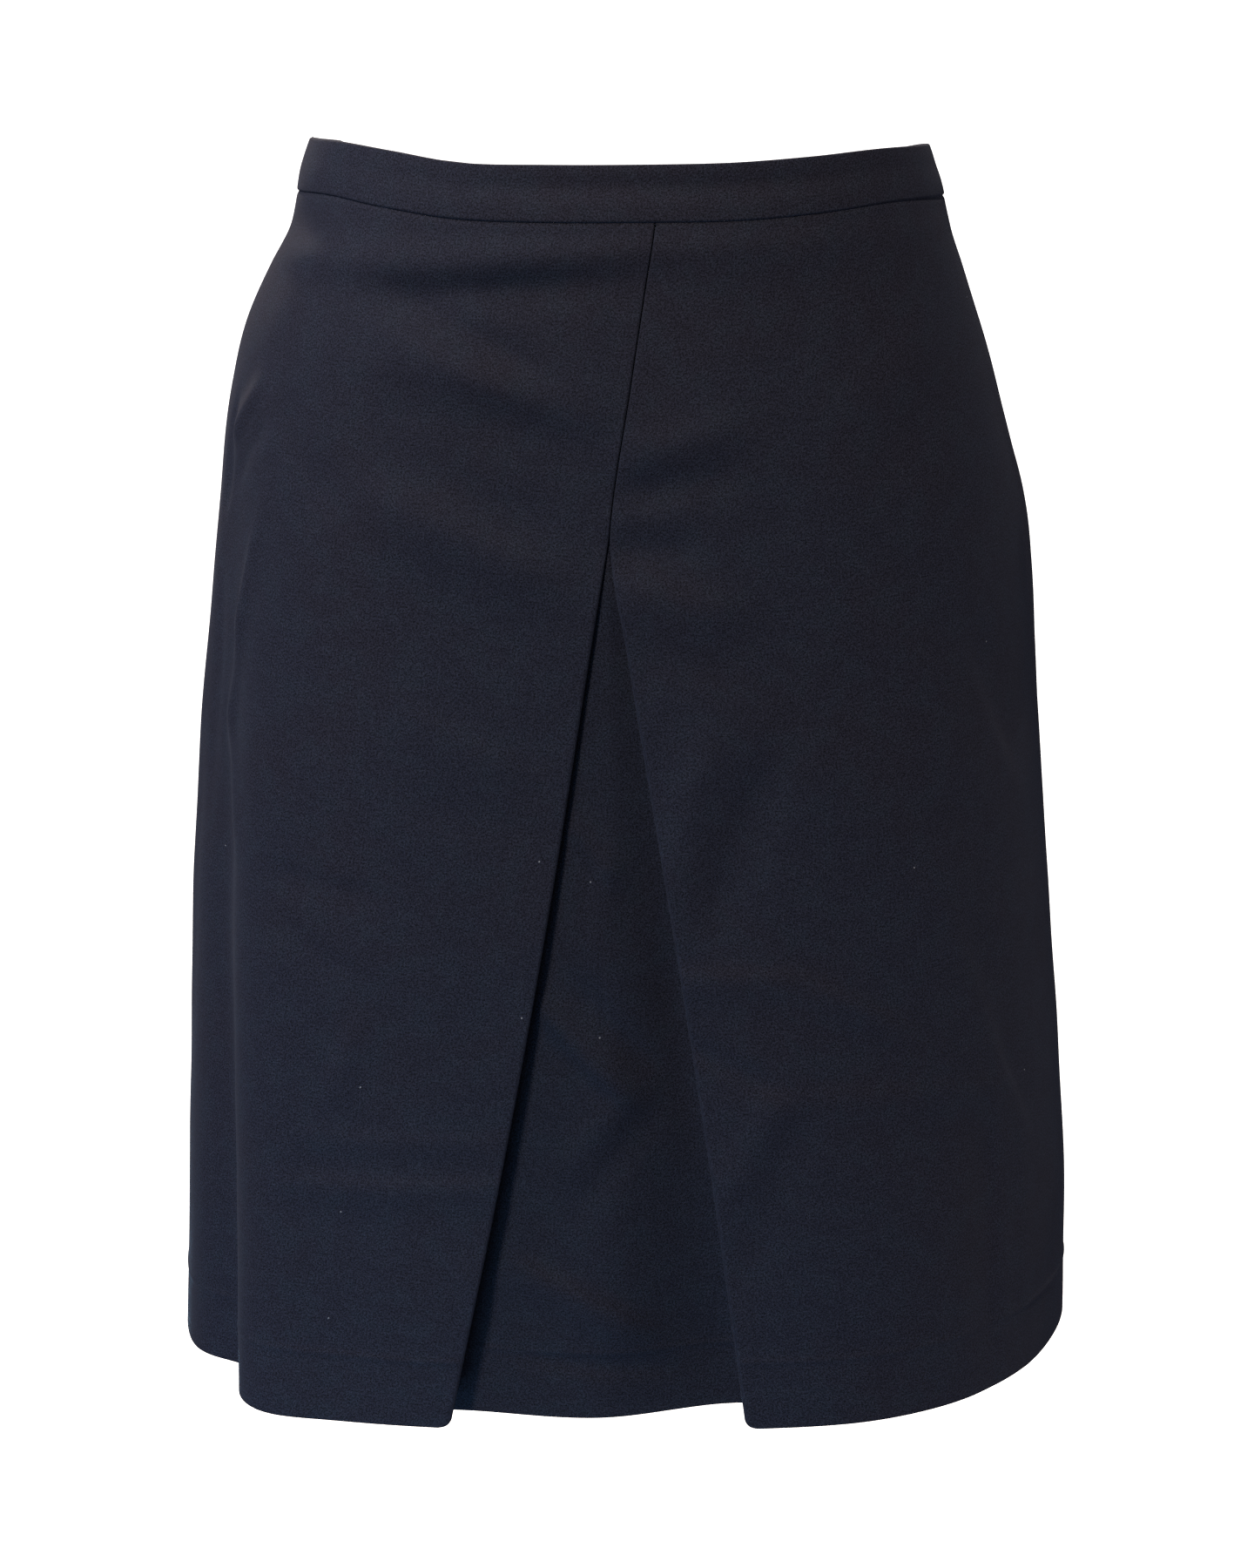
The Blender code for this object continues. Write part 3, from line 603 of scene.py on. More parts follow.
def tubes(name, paths, radius, material, sides=5):
    """Round threads or wires of the skirt as one mesh: paths is (pieces, points, 3). Each
    point has a ring of corners square to the path, and each end is drawn in to a small
    closed face."""
    along = np.gradient(paths, axis=1)
    along /= np.linalg.norm(along, axis=-1, keepdims=True)
    helper = np.where(np.abs(along[..., 2:]) > 0.9, [1.0, 0.0, 0.0], [0.0, 0.0, 1.0])
    side = np.cross(along, helper)
    side /= np.linalg.norm(side, axis=-1, keepdims=True)
    upright = np.cross(along, side)
    turn = np.linspace(0.0, 2 * math.pi, sides, endpoint=False)[:, None]
    size = np.full((paths.shape[1], 1, 1), radius)
    size[[0, -1]] = radius * 0.15
    rings = (paths[:, :, None] + size * (np.cos(turn) * side[:, :, None]
                                         - np.sin(turn) * upright[:, :, None]))
    pieces, count = paths.shape[:2]
    index = np.arange(pieces * count * sides).reshape(pieces, count, sides)
    following = np.roll(index, -1, axis=2)
    walls = np.stack([index[:, :-1], following[:, :-1], following[:, 1:], index[:, 1:]], axis=-1)
    ends = index[:, 0, ::-1].tolist() + index[:, -1].tolist()
    faces = walls.reshape(-1, 4).tolist() + ends
    piece = mesh_piece(name, rings.reshape(-1, 3), faces, material)
    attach(piece, "skirt")
    return piece


# ------------------------------------------------------------------------------- materials

class Number:
    """A number that changes over a surface; sums and products with it add Math nodes."""

    def __init__(self, finish, socket):
        self.finish, self.socket = finish, socket

    def joined(self, operation, first, *others):
        node = self.finish.add("ShaderNodeMath", {"operation": operation},
                               **{str(i): value for i, value in enumerate((first, *others))})
        return Number(self.finish, node.outputs[0])

    def __add__(self, other):
        return self.joined("ADD", self, other)

    def __mul__(self, other):
        return self.joined("MULTIPLY", self, other)

    def __sub__(self, other):
        return self.joined("SUBTRACT", self, other)

    def __rsub__(self, other):
        return self.joined("SUBTRACT", other, self)

    def __truediv__(self, other):
        return self.joined("DIVIDE", self, other)

    __radd__, __rmul__ = __add__, __mul__

    def sine(self):
        return self.joined("SINE", self)

    def size(self):
        return self.joined("ABSOLUTE", self)

    def part(self):
        return self.joined("FRACT", self)

    def above(self, limit):
        return self.joined("GREATER_THAN", self, limit)

    def below(self, limit):
        return self.joined("LESS_THAN", self, limit)

    def between(self, low, high):
        """0 up to low, 1 from high, smooth between; low may be the larger."""
        node = self.finish.add("ShaderNodeMapRange", {"interpolation_type": "SMOOTHSTEP"},
                               Value=self, **{"From Min": low, "From Max": high})
        return Number(self.finish, node.outputs[0])


class Finish:
    """A Principled material, and the one method that adds a node to it."""

    def __init__(self, name, **constants):
        self.material = bpy.data.materials.new(name)
        self.material.use_nodes = True
        self.tree = self.material.node_tree
        self.shader = self.tree.nodes["Principled BSDF"]
        for socket, value in constants.items():
            self.shader.inputs[socket.replace("_", " ")].default_value = value

    def add(self, kind, settings=None, **inputs):
        """Add a node: settings first, then values or links of its sockets, by name or number."""
        node = self.tree.nodes.new(kind)
        for key, value in (settings or {}).items():
            setattr(node, key, value)
        for key, value in inputs.items():
            socket = node.inputs[int(key)] if key.isdigit() else node.inputs[key]
            self.feed(socket, value)
        return node

    def feed(self, socket, value):
        """Link a socket to a number or an output, or set it to a plain value."""
        if isinstance(value, Number):
            value = value.socket
        if isinstance(value, bpy.types.NodeSocket):
            self.tree.links.new(value, socket)
        else:
            socket.default_value = value

    def flat_place(self):
        """Across and down the cut, in millimetres, from the UV map."""
        uv = self.add("ShaderNodeUVMap", {"uv_map": "cut"})
        split = self.add("ShaderNodeSeparateXYZ", **{"0": uv.outputs["UV"]})
        return Number(self, split.outputs[0]) * 1000.0, Number(self, split.outputs[1]) * 1000.0

    def vector(self, x, y, z=0.0):
        return self.add("ShaderNodeCombineXYZ", **{"0": x, "1": y, "2": z}).outputs[0]

    def noise(self, place, scale, detail=2.0, roughness=0.5):
        node = self.add("ShaderNodeTexNoise", Vector=place, Scale=scale, Detail=detail,
                        Roughness=roughness)
        return Number(self, node.outputs["Fac"])

    def mix(self, factor, first, second):
        """A colour between two colours."""
        node = self.add("ShaderNodeMix", {"data_type": "RGBA"})
        self.feed(node.inputs["Factor"], factor)
        for socket, value in zip([s for s in node.inputs if s.type == "RGBA"], (first, second)):
            self.feed(socket, (*value, 1.0) if isinstance(value, tuple) else value)
        return next(s for s in node.outputs if s.type == "RGBA")

    def bump(self, height, distance):
        """Bump from a height of 0 to 1 that stands for a distance in metres."""
        node = self.add("ShaderNodeBump", Height=height, Distance=distance, Strength=1.0)
        self.feed(self.shader.inputs["Normal"], node.outputs[0])

    def colour(self, value):
        self.feed(self.shader.inputs["Base Color"], value)

    def roughness(self, value):
        self.feed(self.shader.inputs["Roughness"], value)


# The lightest yarns, and how they turn warmer, cooler or worn in soft patches. Between them
# the weave goes down to black.
NAVY = (0.0164, 0.0184, 0.0316)
NAVY_WARM = (0.0184, 0.0172, 0.0272)
NAVY_COOL = (0.0150, 0.0218, 0.0332)
NAVY_WORN = (0.0216, 0.0236, 0.0366)
THREAD = (0.012, 0.013, 0.020)
LINT = (0.30, 0.31, 0.33)
BLACK = (0.0, 0.0, 0.0)
TWILL_PITCH = 0.62              # between the twill's diagonal ridges
TWILL_SLANT = (0.89, 0.45)      # cosine and sine of the ridges' slant off the warp
OVERLOCKED = (4.6, 4.3)         # the overlocking starts to show this far from a raw edge
OVERLOCK_PITCH = 1.9


def twill_finish(name, tone=1.0):
    """Dark navy worsted twill. Noises in millimetres of the cut give the uneven yarns both
    ways, the grain along the steep diagonal ridges, the fuzz on them, and slubs, clouds and
    broad patches of tone. A weighted sum of the fine ones says how much light a place gives,
    from black to the yarn's colour. A rare fleck of lint lies on it, and overlocking runs
    along the raw edges."""
    finish = Finish(name, Sheen_Weight=0.02, Sheen_Roughness=0.5, Specular_IOR_Level=0.06,
                    Sheen_Tint=(0.72, 0.78, 1.0, 1.0))
    across, down = finish.flat_place()
    place = finish.vector(across, down)

    cosine, sine = TWILL_SLANT
    over_ridges = across * cosine + down * sine
    along_ridges = down * cosine - across * sine
    warp = finish.noise(finish.vector(across * 2.1, down * 0.09), 1.0, 1.0)
    weft = finish.noise(finish.vector(across * 0.09, down * 2.1), 1.0, 1.0)
    grain = finish.noise(finish.vector(over_ridges * 1.9, along_ridges * 1.5), 1.0, 4.0, 0.8)
    fuzz = finish.noise(place, 1.15, 2.0, 0.65)
    ridge = (over_ridges * (2 * math.pi / TWILL_PITCH) + grain * 2.4).sine() * 0.5 + 0.5
    slub = finish.noise(place, 0.30, 2.0, 0.6)
    patch = finish.noise(place, 0.011, 3.0, 0.55)
    cloud = finish.noise(place, 0.070, 3.0, 0.65)

    light = grain.between(0.40, 0.60) * 0.44 + fuzz.between(0.40, 0.60) * 0.42
    light = light + warp.between(0.3, 0.7) * 0.05 + weft.between(0.3, 0.7) * 0.05 + ridge * 0.04
    yarn = finish.mix(patch.between(0.42, 0.62) * 0.5, NAVY, NAVY_WARM)
    yarn = finish.mix(cloud.between(0.46, 0.62) * 0.36, yarn, NAVY_COOL)
    yarn = finish.mix(slub.between(0.42, 0.64) * 0.36, yarn, NAVY_WORN)
    shade = cloud.between(0.40, 0.60) * 0.09 + slub.between(0.42, 0.60) * 0.04 + 0.90
    # tone scales the whole colour down; below 1 it is painted shade, as on the underlay in the
    # pleat's recess.
    base = finish.mix(light * shade * tone, BLACK, yarn)

    # One cell of about 60 mm in five holds a fleck, 0.7 mm across.
    fleck = finish.add("ShaderNodeTexVoronoi", {"voronoi_dimensions": "2D"}, Vector=place,
                       Scale=0.016, Randomness=1.0)
    chosen = finish.add("ShaderNodeSeparateColor", **{"0": fleck.outputs["Color"]})
    lint = (Number(finish, fleck.outputs["Distance"]).below(0.006)
            * Number(finish, chosen.outputs[0]).above(0.82))
    base = finish.mix(lint * 0.35, base, LINT)

    edge = finish.add("ShaderNodeAttribute", {"attribute_name": "to_edge"})
    to_edge = Number(finish, edge.outputs["Fac"])
    overlocked = to_edge.between(*OVERLOCKED)
    loops = (((across + down) / OVERLOCK_PITCH).part() - 0.5).size() * 2.0
    base = finish.mix(overlocked * loops.between(0.2, 0.8) * 0.8, base, THREAD)
    finish.colour(base)
    finish.roughness(0.70 + grain * 0.16)
    height = ridge * 0.4 + grain * 0.3 + fuzz * 0.5 + (warp + weft) * 0.2
    finish.bump(height + overlocked * loops * 3.0, 0.00008)
    return finish.material


def tape_finish():
    """Woven zip tape: a fine herringbone of black-navy yarn, whose ribs slant with a zigzag
    wave 1.4 mm wide."""
    finish = Finish("zip_tape_weave", Specular_IOR_Level=0.05)
    across, down = finish.flat_place()
    wale = ((across / 1.4).part() - 0.5).size() * 2.0
    rib = ((wale * 0.7 + down / 0.55) * (2 * math.pi)).sine() * 0.5 + 0.5
    grain = finish.noise(finish.vector(across, down), 2.4, 2.0)
    finish.colour(finish.mix(rib * 0.7 + grain * 0.3, (0.005, 0.006, 0.009),
                             (0.013, 0.014, 0.021)))
    finish.roughness(0.62 + grain * 0.2)
    finish.bump(rib * 0.7 + wale * 0.5, 0.00012)
    return finish.material


def object_place(finish):
    """Place on the object in millimetres."""
    where = finish.add("ShaderNodeTexCoord").outputs["Object"]
    scaled = finish.add("ShaderNodeVectorMath", {"operation": "SCALE"}, **{"0": where})
    scaled.inputs["Scale"].default_value = 1000.0
    return scaled.outputs[0]


def coil_finish():
    """Moulded nylon of the zip's coil: dark, smooth, a little uneven."""
    finish = Finish("zip_coil_nylon", Specular_IOR_Level=0.16)
    grain = finish.noise(object_place(finish), 0.8, 2.0)
    finish.colour(finish.mix(grain, (0.006, 0.007, 0.011), (0.014, 0.015, 0.023)))
    finish.roughness(0.42 + grain * 0.2)
    finish.bump(grain, 0.00003)
    return finish.material


def thread_finish():
    """Twisted sewing thread: slanting plies along its length."""
    finish = Finish("sewing_thread", Sheen_Weight=0.02, Specular_IOR_Level=0.10)
    place = finish.add("ShaderNodeSeparateXYZ", **{"0": object_place(finish)})
    slant = Number(finish, place.outputs[0]) + Number(finish, place.outputs[2]) * 0.8
    ply = (slant * (2 * math.pi / 0.5)).sine() * 0.5 + 0.5
    finish.colour(finish.mix(ply, (0.008, 0.009, 0.015), (0.019, 0.021, 0.032)))
    finish.roughness(0.5 + ply * 0.1)
    finish.bump(ply, 0.00005)
    return finish.material


def painted_metal_finish():
    """Slider, pull and stop: dark enamel over die-cast metal, rubbed in fine scratches."""
    finish = Finish("painted_zip_metal", Specular_IOR_Level=0.08, Coat_Roughness=0.3)
    place = object_place(finish)
    cloudy = finish.noise(place, 0.5, 4.0)
    stretched = finish.add("ShaderNodeMapping", Vector=place, Scale=(6.0, 6.0, 0.5))
    scratch = finish.noise(stretched.outputs[0], 1.0, 3.0, 0.7)
    rubbed = scratch.between(0.66, 0.82) * cloudy.between(0.45, 0.65)
    finish.colour(finish.mix(rubbed * 0.5, (0.009, 0.010, 0.016), (0.08, 0.08, 0.09)))
    finish.feed(finish.shader.inputs["Metallic"], rubbed * 0.6)
    finish.feed(finish.shader.inputs["Coat Weight"], 0.03 - rubbed * 0.03)
    finish.roughness(0.46 + cloudy * 0.18)
    finish.bump(cloudy - rubbed * 0.6, 0.00003)
    return finish.material


TWILL_FINISH = twill_finish("navy_twill")
# The underlay gets a darker copy of the same twill: painted shade of its recess behind the pleat,
# not a darker cloth.
UNDERLAY_SHADED_FINISH = twill_finish("navy_twill_underlay_painted_shade", tone=0.92)
TAPE_FINISH = tape_finish()
COIL_FINISH = coil_finish()
THREAD_FINISH = thread_finish()
METAL_FINISH = painted_metal_finish()


# ------------------------------------------------------------------------------- panels

def fold_place(side, level):
    """Sideways place of a folded edge, half a gap off the seam while the seam is closed. The
    edge curves away at the hem, where the turned corner is rounded."""
    half_open = np.maximum(column(PLEAT, PLEAT_COLUMNS, "half_open", level), 0.0)
    near_hem = np.clip(HEM_LEVEL + CORNER - level, 0.0, CORNER_END * CORNER)
    rounding = CORNER - np.sqrt(CORNER ** 2 - near_hem ** 2)
    middle = column(PLEAT, PLEAT_COLUMNS, "middle", level)
    return middle + side * (half_open + GAP / 2 + rounding)


def turned_under(level):
    """Width of cloth turned under behind each folded edge."""
    return column(PLEAT, PLEAT_COLUMNS, "turned_under", level)


def pleat_opened(level):
    """0 where the front seam is closed, growing to 1 at the hem."""
    return np.clip((PLEAT_TOP - level) / (PLEAT_TOP - HEM_LEVEL), 0.0, 1.0)


def fold_radius(level):
    """Outside radius of the folded edge: pressed flat at the seam, fuller at the hem."""
    at_seam, below, at_hem = FOLD_RADII
    start, fade = FOLD_FULLS
    opened = ease(pleat_opened(level) / FOLD_OPENS)
    near_hem = ease((HEM_LEVEL + start - level) / fade)
    return at_seam + (below - at_seam) * opened + (at_hem - below) * near_hem


def free_of_face(level):
    """0 where the underlay still follows the fronts, 1 where it hangs on its own."""
    return ease(pleat_opened(level) / UNDERLAY_FREE)


FACE_WIDTH = 300.0              # of a front, for spacing its columns
HIDDEN_COLUMNS = 11             # of its turned-under allowance
BENT_COLUMNS = 11               # round its folded edge
FOLD_COLUMN = 16                # the one on the edge itself


def front_surface(side):
    """A front as a function of the rows' shares: from the edge that is turned under, round
    the fold, over the face to the side seam."""
    back = np.linspace(1.0, 0.0, HIDDEN_COLUMNS + 1)[None, :-1]
    turn = np.linspace(math.pi, 0.0, BENT_COLUMNS)[None, :]
    off_edge, roll_depth = rolled(SEAM_ROLL)
    start, end = 1.2, FACE_WIDTH - SEAM_ROLL - 2.0
    over = np.concatenate([[start], steps(start, 6.0, 1.0), steps(6.0, end - 5.0, 2.7),
                           steps(end - 5.0, end, 1.0), FACE_WIDTH - off_edge[::-1]]) / FACE_WIDTH
    face_depth = np.concatenate([np.zeros(len(over) - len(off_edge)), roll_depth[::-1]])[None, :]

    def surface(share):
        base = panel_levels(0.0, 0.0, share)
        fold = angle_at(fold_place(side, base), base)
        step = angle_step(fold, base, 1.0)
        radius = fold_radius(base)
        at_side = panel_levels(SIDE_SEAM, 0.0, share)
        seam_angle = side * (SIDE_SEAM - angle_step(SIDE_SEAM, at_side, GAP / 2))
        width = turned_under(base)
        hidden = fold + side * step * (radius + (width - radius) * back)
        hidden_depth = 2 * radius + UNDERLAY_RECESS["edge"] * pleat_opened(base) * back
        bent = fold + side * step * radius * (1 - np.sin(turn))
        bent_depth = radius * (1 - np.cos(turn))
        face_end = fold + side * step * radius
        face = face_end + (seam_angle - face_end) * over
        angle = np.concatenate([hidden, bent, face], axis=1)
        depth = np.concatenate([hidden_depth, bent_depth, face_depth * np.ones_like(base)], axis=1)
        follows = 1 - free_of_face(base) * back
        creased = np.concatenate([follows, np.ones_like(bent), np.ones_like(face)], axis=1)
        level = panel_levels(angle, depth, share)
        off_seam = np.minimum(over, 1 - over) * FACE_WIDTH * np.ones_like(base)
        off_seam = np.concatenate([np.full_like(hidden, FAR), np.full_like(bent, FAR), off_seam],
                                  axis=1)
        lifted = hem_mark(share) + seam_pull(off_seam, level)
        points = form(angle, level, depth - lifted * (depth < 0.01), creased=creased)
        return points if side > 0 else points[:, ::-1]

    return surface


UNDERLAY_COLUMNS = (14, 44)     # behind each front, and between the folds
UNDERLAY_MIDDLE = 36            # the column in its middle


def underlay_surface(share):
    """The piece behind the pleat as a function of the rows' shares: from one turned-under
    edge to the other, lying against both folds and bellying between them."""
    base = panel_levels(0.0, 0.0, share)
    right, left = fold_place(-1, base), fold_place(1, base)
    width = turned_under(base)
    behind, between = UNDERLAY_COLUMNS
    place = np.concatenate([right + width * np.linspace(-1.0, -0.08, behind)[None, :],
                            right + (left - right) * np.linspace(0.0, 1.0, between)[None, :],
                            left + width * np.linspace(0.08, 1.0, behind)[None, :]], axis=1)
    stations = np.concatenate([right - width, right, (right + left) / 2, left, left + width],
                              axis=1)
    recess = [UNDERLAY_RECESS[key] for key in ("edge", "right_fold", "middle", "left_fold", "edge")]
    shape = np.array([smooth_through(list(zip(at, recess)), row)
                      for at, row in zip(stations, place)])
    free = free_of_face(base)
    angle = angle_at(place, base)
    own = crease_out(UNDERLAY_CREASES, angle, base) * free
    hung = 2 * fold_radius(base) + GAP + shape * pleat_opened(base)
    level = panel_levels(angle, hung, share)
    return form(angle, level, hung - own - hem_mark(share), creased=1 - free)


BACK_WIDTH = 270.0              # of a back, for spacing its columns


def back_surface(side):
    """A back as a function of the rows' shares: from the side seam, over two darts, to the
    centre back."""
    off_edge, roll_depth = rolled(SEAM_ROLL)
    inner = np.concatenate([[SEAM_ROLL + 1.0], steps(SEAM_ROLL + 1.0, 6.0, 1.0),
                            steps(6.0, BACK_WIDTH - 6.0, 2.7),
                            steps(BACK_WIDTH - 6.0, BACK_WIDTH - SEAM_ROLL - 1.0, 1.0)])
    by_dart = np.array([-1.9, -1.2, -0.7, -0.35, 0.0, 0.35, 0.7, 1.2, 1.9])
    for share_round, _ in DARTS:
        middle = share_round * BACK_WIDTH
        inner = np.concatenate([inner[np.abs(inner - middle) > 2.6], middle + by_dart])
    places = np.concatenate([off_edge, np.sort(inner), BACK_WIDTH - off_edge[::-1]])
    over = places[None, :] / BACK_WIDTH
    depth = np.concatenate([roll_depth, np.zeros(len(inner)), roll_depth[::-1]])[None, :]

    def surface(share):
        at_side, at_back = panel_levels(SIDE_SEAM, 0.0, share), panel_levels(180.0, 0.0, share)
        first = SIDE_SEAM + angle_step(SIDE_SEAM, at_side, GAP / 2)
        last = 180.0 - angle_step(180.0, at_back, GAP / 2)
        angle = side * (first + (last - first) * over)
        level = panel_levels(angle, 0.0, share)
        groove = np.zeros_like(level)
        for share_round, length in DARTS:
            off = (over - share_round) * BACK_WIDTH / DART_HALF_WIDTH
            fade = ease((length - share * PANEL_LENGTH) / DART_FADE)
            groove += DART_DEPTH * fade * np.exp(-off ** 2)
        off_seam = np.minimum(places, BACK_WIDTH - places)[None, :]
        lifted = hem_mark(share) + seam_pull(off_seam, level)
        height, reach = ZIP_PULL
        by_zip = np.exp(-(((BACK_WIDTH - places[None, :]) / reach) ** 2)) * (level > ZIP_END)
        lifted = lifted + by_zip * height * np.sin(level / 7.0 + 0.5)
        points = form(angle, level, depth + groove - lifted * (depth < 0.01))
        return points if side > 0 else points[:, ::-1]

    return surface


def panel(node, surface, hangs_from, grain_column, raw_sides=(), finish=TWILL_FINISH):
    """A panel with its turned hem. raw_sides says which of its sides are overlocked: 'first'
    and 'last' are the edges at its first and last columns."""
    down, inside = hemmed_rows()
    points = laid(surface, down / PANEL_LENGTH, inside)
    run_down, run_across = run_length(points, 0), run_length(points, 1)
    to_edge = run_down[-1] - run_down
    if "first" in raw_sides:
        to_edge = np.minimum(to_edge, run_across)
    if "last" in raw_sides:
        to_edge = np.minimum(to_edge, run_across[:, -1:] - run_across)
    piece = cloth(f"{node}_cloth", points, finish, grain_column=grain_column, free_edge=to_edge)
    sewn_in(piece, node)


def band(node, first_angle, last_angle, notch=0):
    """A stretch of the waistband: its facing comes up inside, rolls over the top edge and
    runs down outside to the seam, where it rolls in. notch is the end (-1 or 1) that parts
    at the zip's slider."""
    top_roll = BAND_CLOTH / 2
    roll_off, roll_in = rolled(BAND_ROLL)
    turn = np.linspace(math.pi, 0.0, 13)
    lowest = BAND_HEIGHT - FACING_END
    facing = np.concatenate([[lowest], steps(lowest, top_roll, 2.2)[:-1]])
    outer = steps(top_roll, BAND_HEIGHT - BAND_ROLL, 1.5)[:-1]
    down = np.concatenate([facing, top_roll - top_roll * np.sin(turn), outer,
                           BAND_HEIGHT - roll_off[::-1]])
    swell = BAND_SWELL * np.sin(np.pi * (outer - top_roll) / (BAND_HEIGHT - top_roll))
    inside = np.concatenate([np.full(len(facing), BAND_CLOTH), top_roll * (1 - np.cos(turn)),
                             -swell, roll_in[::-1]])
    share = (down / BAND_HEIGHT)[:, None]

    length = abs(last_angle - first_angle) * BAND_MM_PER_DEGREE
    edge_off, edge_in = rolled(BAND_END_ROLL, 3)
    start, end = 2 * BAND_END_ROLL, length - 2 * BAND_END_ROLL
    places = np.concatenate([edge_off, [start], steps(start, end, 1.9), length - edge_off[::-1]])
    along = places[None, :] / length
    end_in = np.concatenate([edge_in, np.zeros(len(places) - 2 * len(edge_in)), edge_in[::-1]])

    def surface(share):
        angle = first_angle + (last_angle - first_angle) * along * np.ones_like(share)
        top, bottom = waist_line("top", angle), waist_line("seam", angle)
        level = top + (bottom - top) * share
        half_gap = np.full(share.shape, BAND_GAP / 2)
        if notch:
            drop = (top - level)[:, :1]
            parted = (NOTCH_END_DROP - drop) / (NOTCH_END_DROP - NOTCH_FULL_DROP)
            half_gap = half_gap + NOTCH_HALF_WIDTH * np.clip(parted, 0.0, 1.0)
        first_gap = half_gap if notch < 0 else np.full(share.shape, BAND_GAP / 2)
        last_gap = half_gap if notch > 0 else np.full(share.shape, BAND_GAP / 2)
        step = angle_step(angle, level, 1.0)
        angle = angle + step * (first_gap * (1 - along) - last_gap * along)
        wave = BAND_WAVE * np.sin(angle / 5.1 + 0.8) * np.sin(np.pi * np.clip(share, 0, 1))
        pucker = BAND_PUCKER * np.sin(angle * 2.9) * ease((share - 0.75) * 5)
        off = [(here - middle) / spread for here, middle, spread
               in zip((share, angle), BAND_DISH_PLACE, BAND_DISH_SPREAD)]
        dished = BAND_DISH * np.exp(-off[0] ** 2) * np.exp(-off[1] ** 2)
        return form(angle, level, -BAND_PROUD - (wave + pucker - dished), creased=0.0)

    off_middle = (inside[:, None] - top_roll) / top_roll
    points = laid(surface, share, inside[:, None] - end_in[None, :] * off_middle)
    piece = cloth(f"{node}_cloth", points, TWILL_FINISH, grain_column=points.shape[1] // 2)
    sewn_in(piece, node)


# ------------------------------------------------------------- inside: allowances, zip, stitches

def allowance(name, angle, direction, start):
    """A seam allowance pressed open: a strip that lies inside a panel beside its seam, right
    side to the body, raw edge overlocked. It comes down from inside the band, and in the hem
    it lies between the hem's two layers. start is how far from the seam it begins."""
    across = np.concatenate([[start], steps(start, ALLOWANCE, 1.2)])[None, :]
    level = np.linspace(waist_line("seam", angle) + 2.0, HEM_LEVEL + 1.4, ALLOWANCE_ROWS)[:, None]
    in_hem = ease((HEM_LEVEL + HEM_ALLOWANCE + 5.0 - level) / 4.0)
    round_it = angle + direction * angle_step(angle, level, 1.0) * across
    wavy = ALLOWANCE_WAVE * np.sin(level / 9.0 + angle) * (across / ALLOWANCE)
    against_face = TWILL + 0.06
    outer = ALLOWANCE_DEPTH + (against_face - ALLOWANCE_DEPTH) * in_hem + wavy * (1 - in_hem)
    points = form(round_it, level, outer + ALLOWANCE_CLOTH)
    points = points[:, ::-1] if direction > 0 else points
    reach = run_length(points, 1)
    to_edge = reach if direction > 0 else reach[:, -1:] - reach
    piece = cloth(name, points, TWILL_FINISH, thickness=ALLOWANCE_CLOTH, free_edge=to_edge)
    sewn_in(piece, None)


def zip_depth(level):
    """Depth just inside the band near the top, easing to just inside the backs below it."""
    seam = waist_line("seam", 180.0)
    at_band = BAND_CLOTH - BAND_PROUD + 2 * GAP
    eased = np.clip((level - (seam - ZIP_EASE_DROP)) / ZIP_EASE, 0.0, 1.0)
    return ZIP_DEPTH + (at_band - ZIP_DEPTH) * eased


def zip_angle(place, level):
    """Angle of a place so far to the wearer's left of the centre back."""
    return 180.0 - angle_step(180.0, level, 1.0) * place


def zip_tape(node, first, last):
    """One woven tape of the zip, with the soft ridge where its inner edge is folded. first
    and last are its edges, to the wearer's left of the centre back."""
    top = waist_line("top", 180.0) - TAPE_TOP_DROP
    level = np.linspace(top, ZIP_END, 90)[:, None]
    place = np.linspace(first, last, 12)[None, :]
    inner_edge = min(abs(first), abs(last))
    height, half_width = TAPE_RIDGE
    ridge = height * np.exp(-((np.abs(place) - inner_edge) / half_width) ** 2)
    wave = TAPE_WAVE * np.sin(level / 6.0)
    points = form(zip_angle(place, level), level, zip_depth(level) + wave - ridge)
    piece = cloth(f"{node}_weave", points[:, ::-1], TAPE_FINISH, thickness=TAPE_CLOTH)
    sewn_in(piece, node)


def coil_paths():
    """The two coils of the closed zip: helices side by side, half a turn apart, whose turns
    interleave at the middle."""
    top = waist_line("top", 180.0) - COIL_TOP_DROP
    turns = int((top - ZIP_END) / COIL_PITCH)
    half_width, half_depth = COIL_TURN
    points_per_turn = 10
    t = np.linspace(0.0, turns, turns * points_per_turn + 1)
    level = top - COIL_PITCH * t
    paths = []
    for side, start in ((-1, 0.0), (1, 0.5)):
        phase = 2 * math.pi * (t + start)
        place = side * COIL_OFF_CENTRE + half_width * np.cos(phase)
        deep = zip_depth(level) + TAPE_CLOTH + GAP + COIL_OFF_TAPE + half_depth * np.sin(phase)
        paths.append(form(zip_angle(place, level), level, deep))
    return np.array(paths)


def read_along(line, run, at):
    """Points or directions of a line, (points, 3), at distances along its run."""
    return np.stack([np.interp(at, run, line[:, k]) for k in range(3)], axis=-1)


def stitch_row(line, away, length, gap, lift):
    """Stitches along a line: each a short path of five points that rises a little from the
    cloth in its middle. line is (points, 3) and away points away from the cloth."""
    run = run_length(line[None], 1)[0]
    count = int(run[-1] / (length + gap))
    at = (np.arange(count) * (length + gap))[:, None] + np.linspace(0.0, length, 5)[None, :]
    rise = lift * np.array([-0.6, 0.6, 1.0, 0.6, -0.6])[None, :, None]
    return read_along(line, run, at) + read_along(away, run, at) * rise


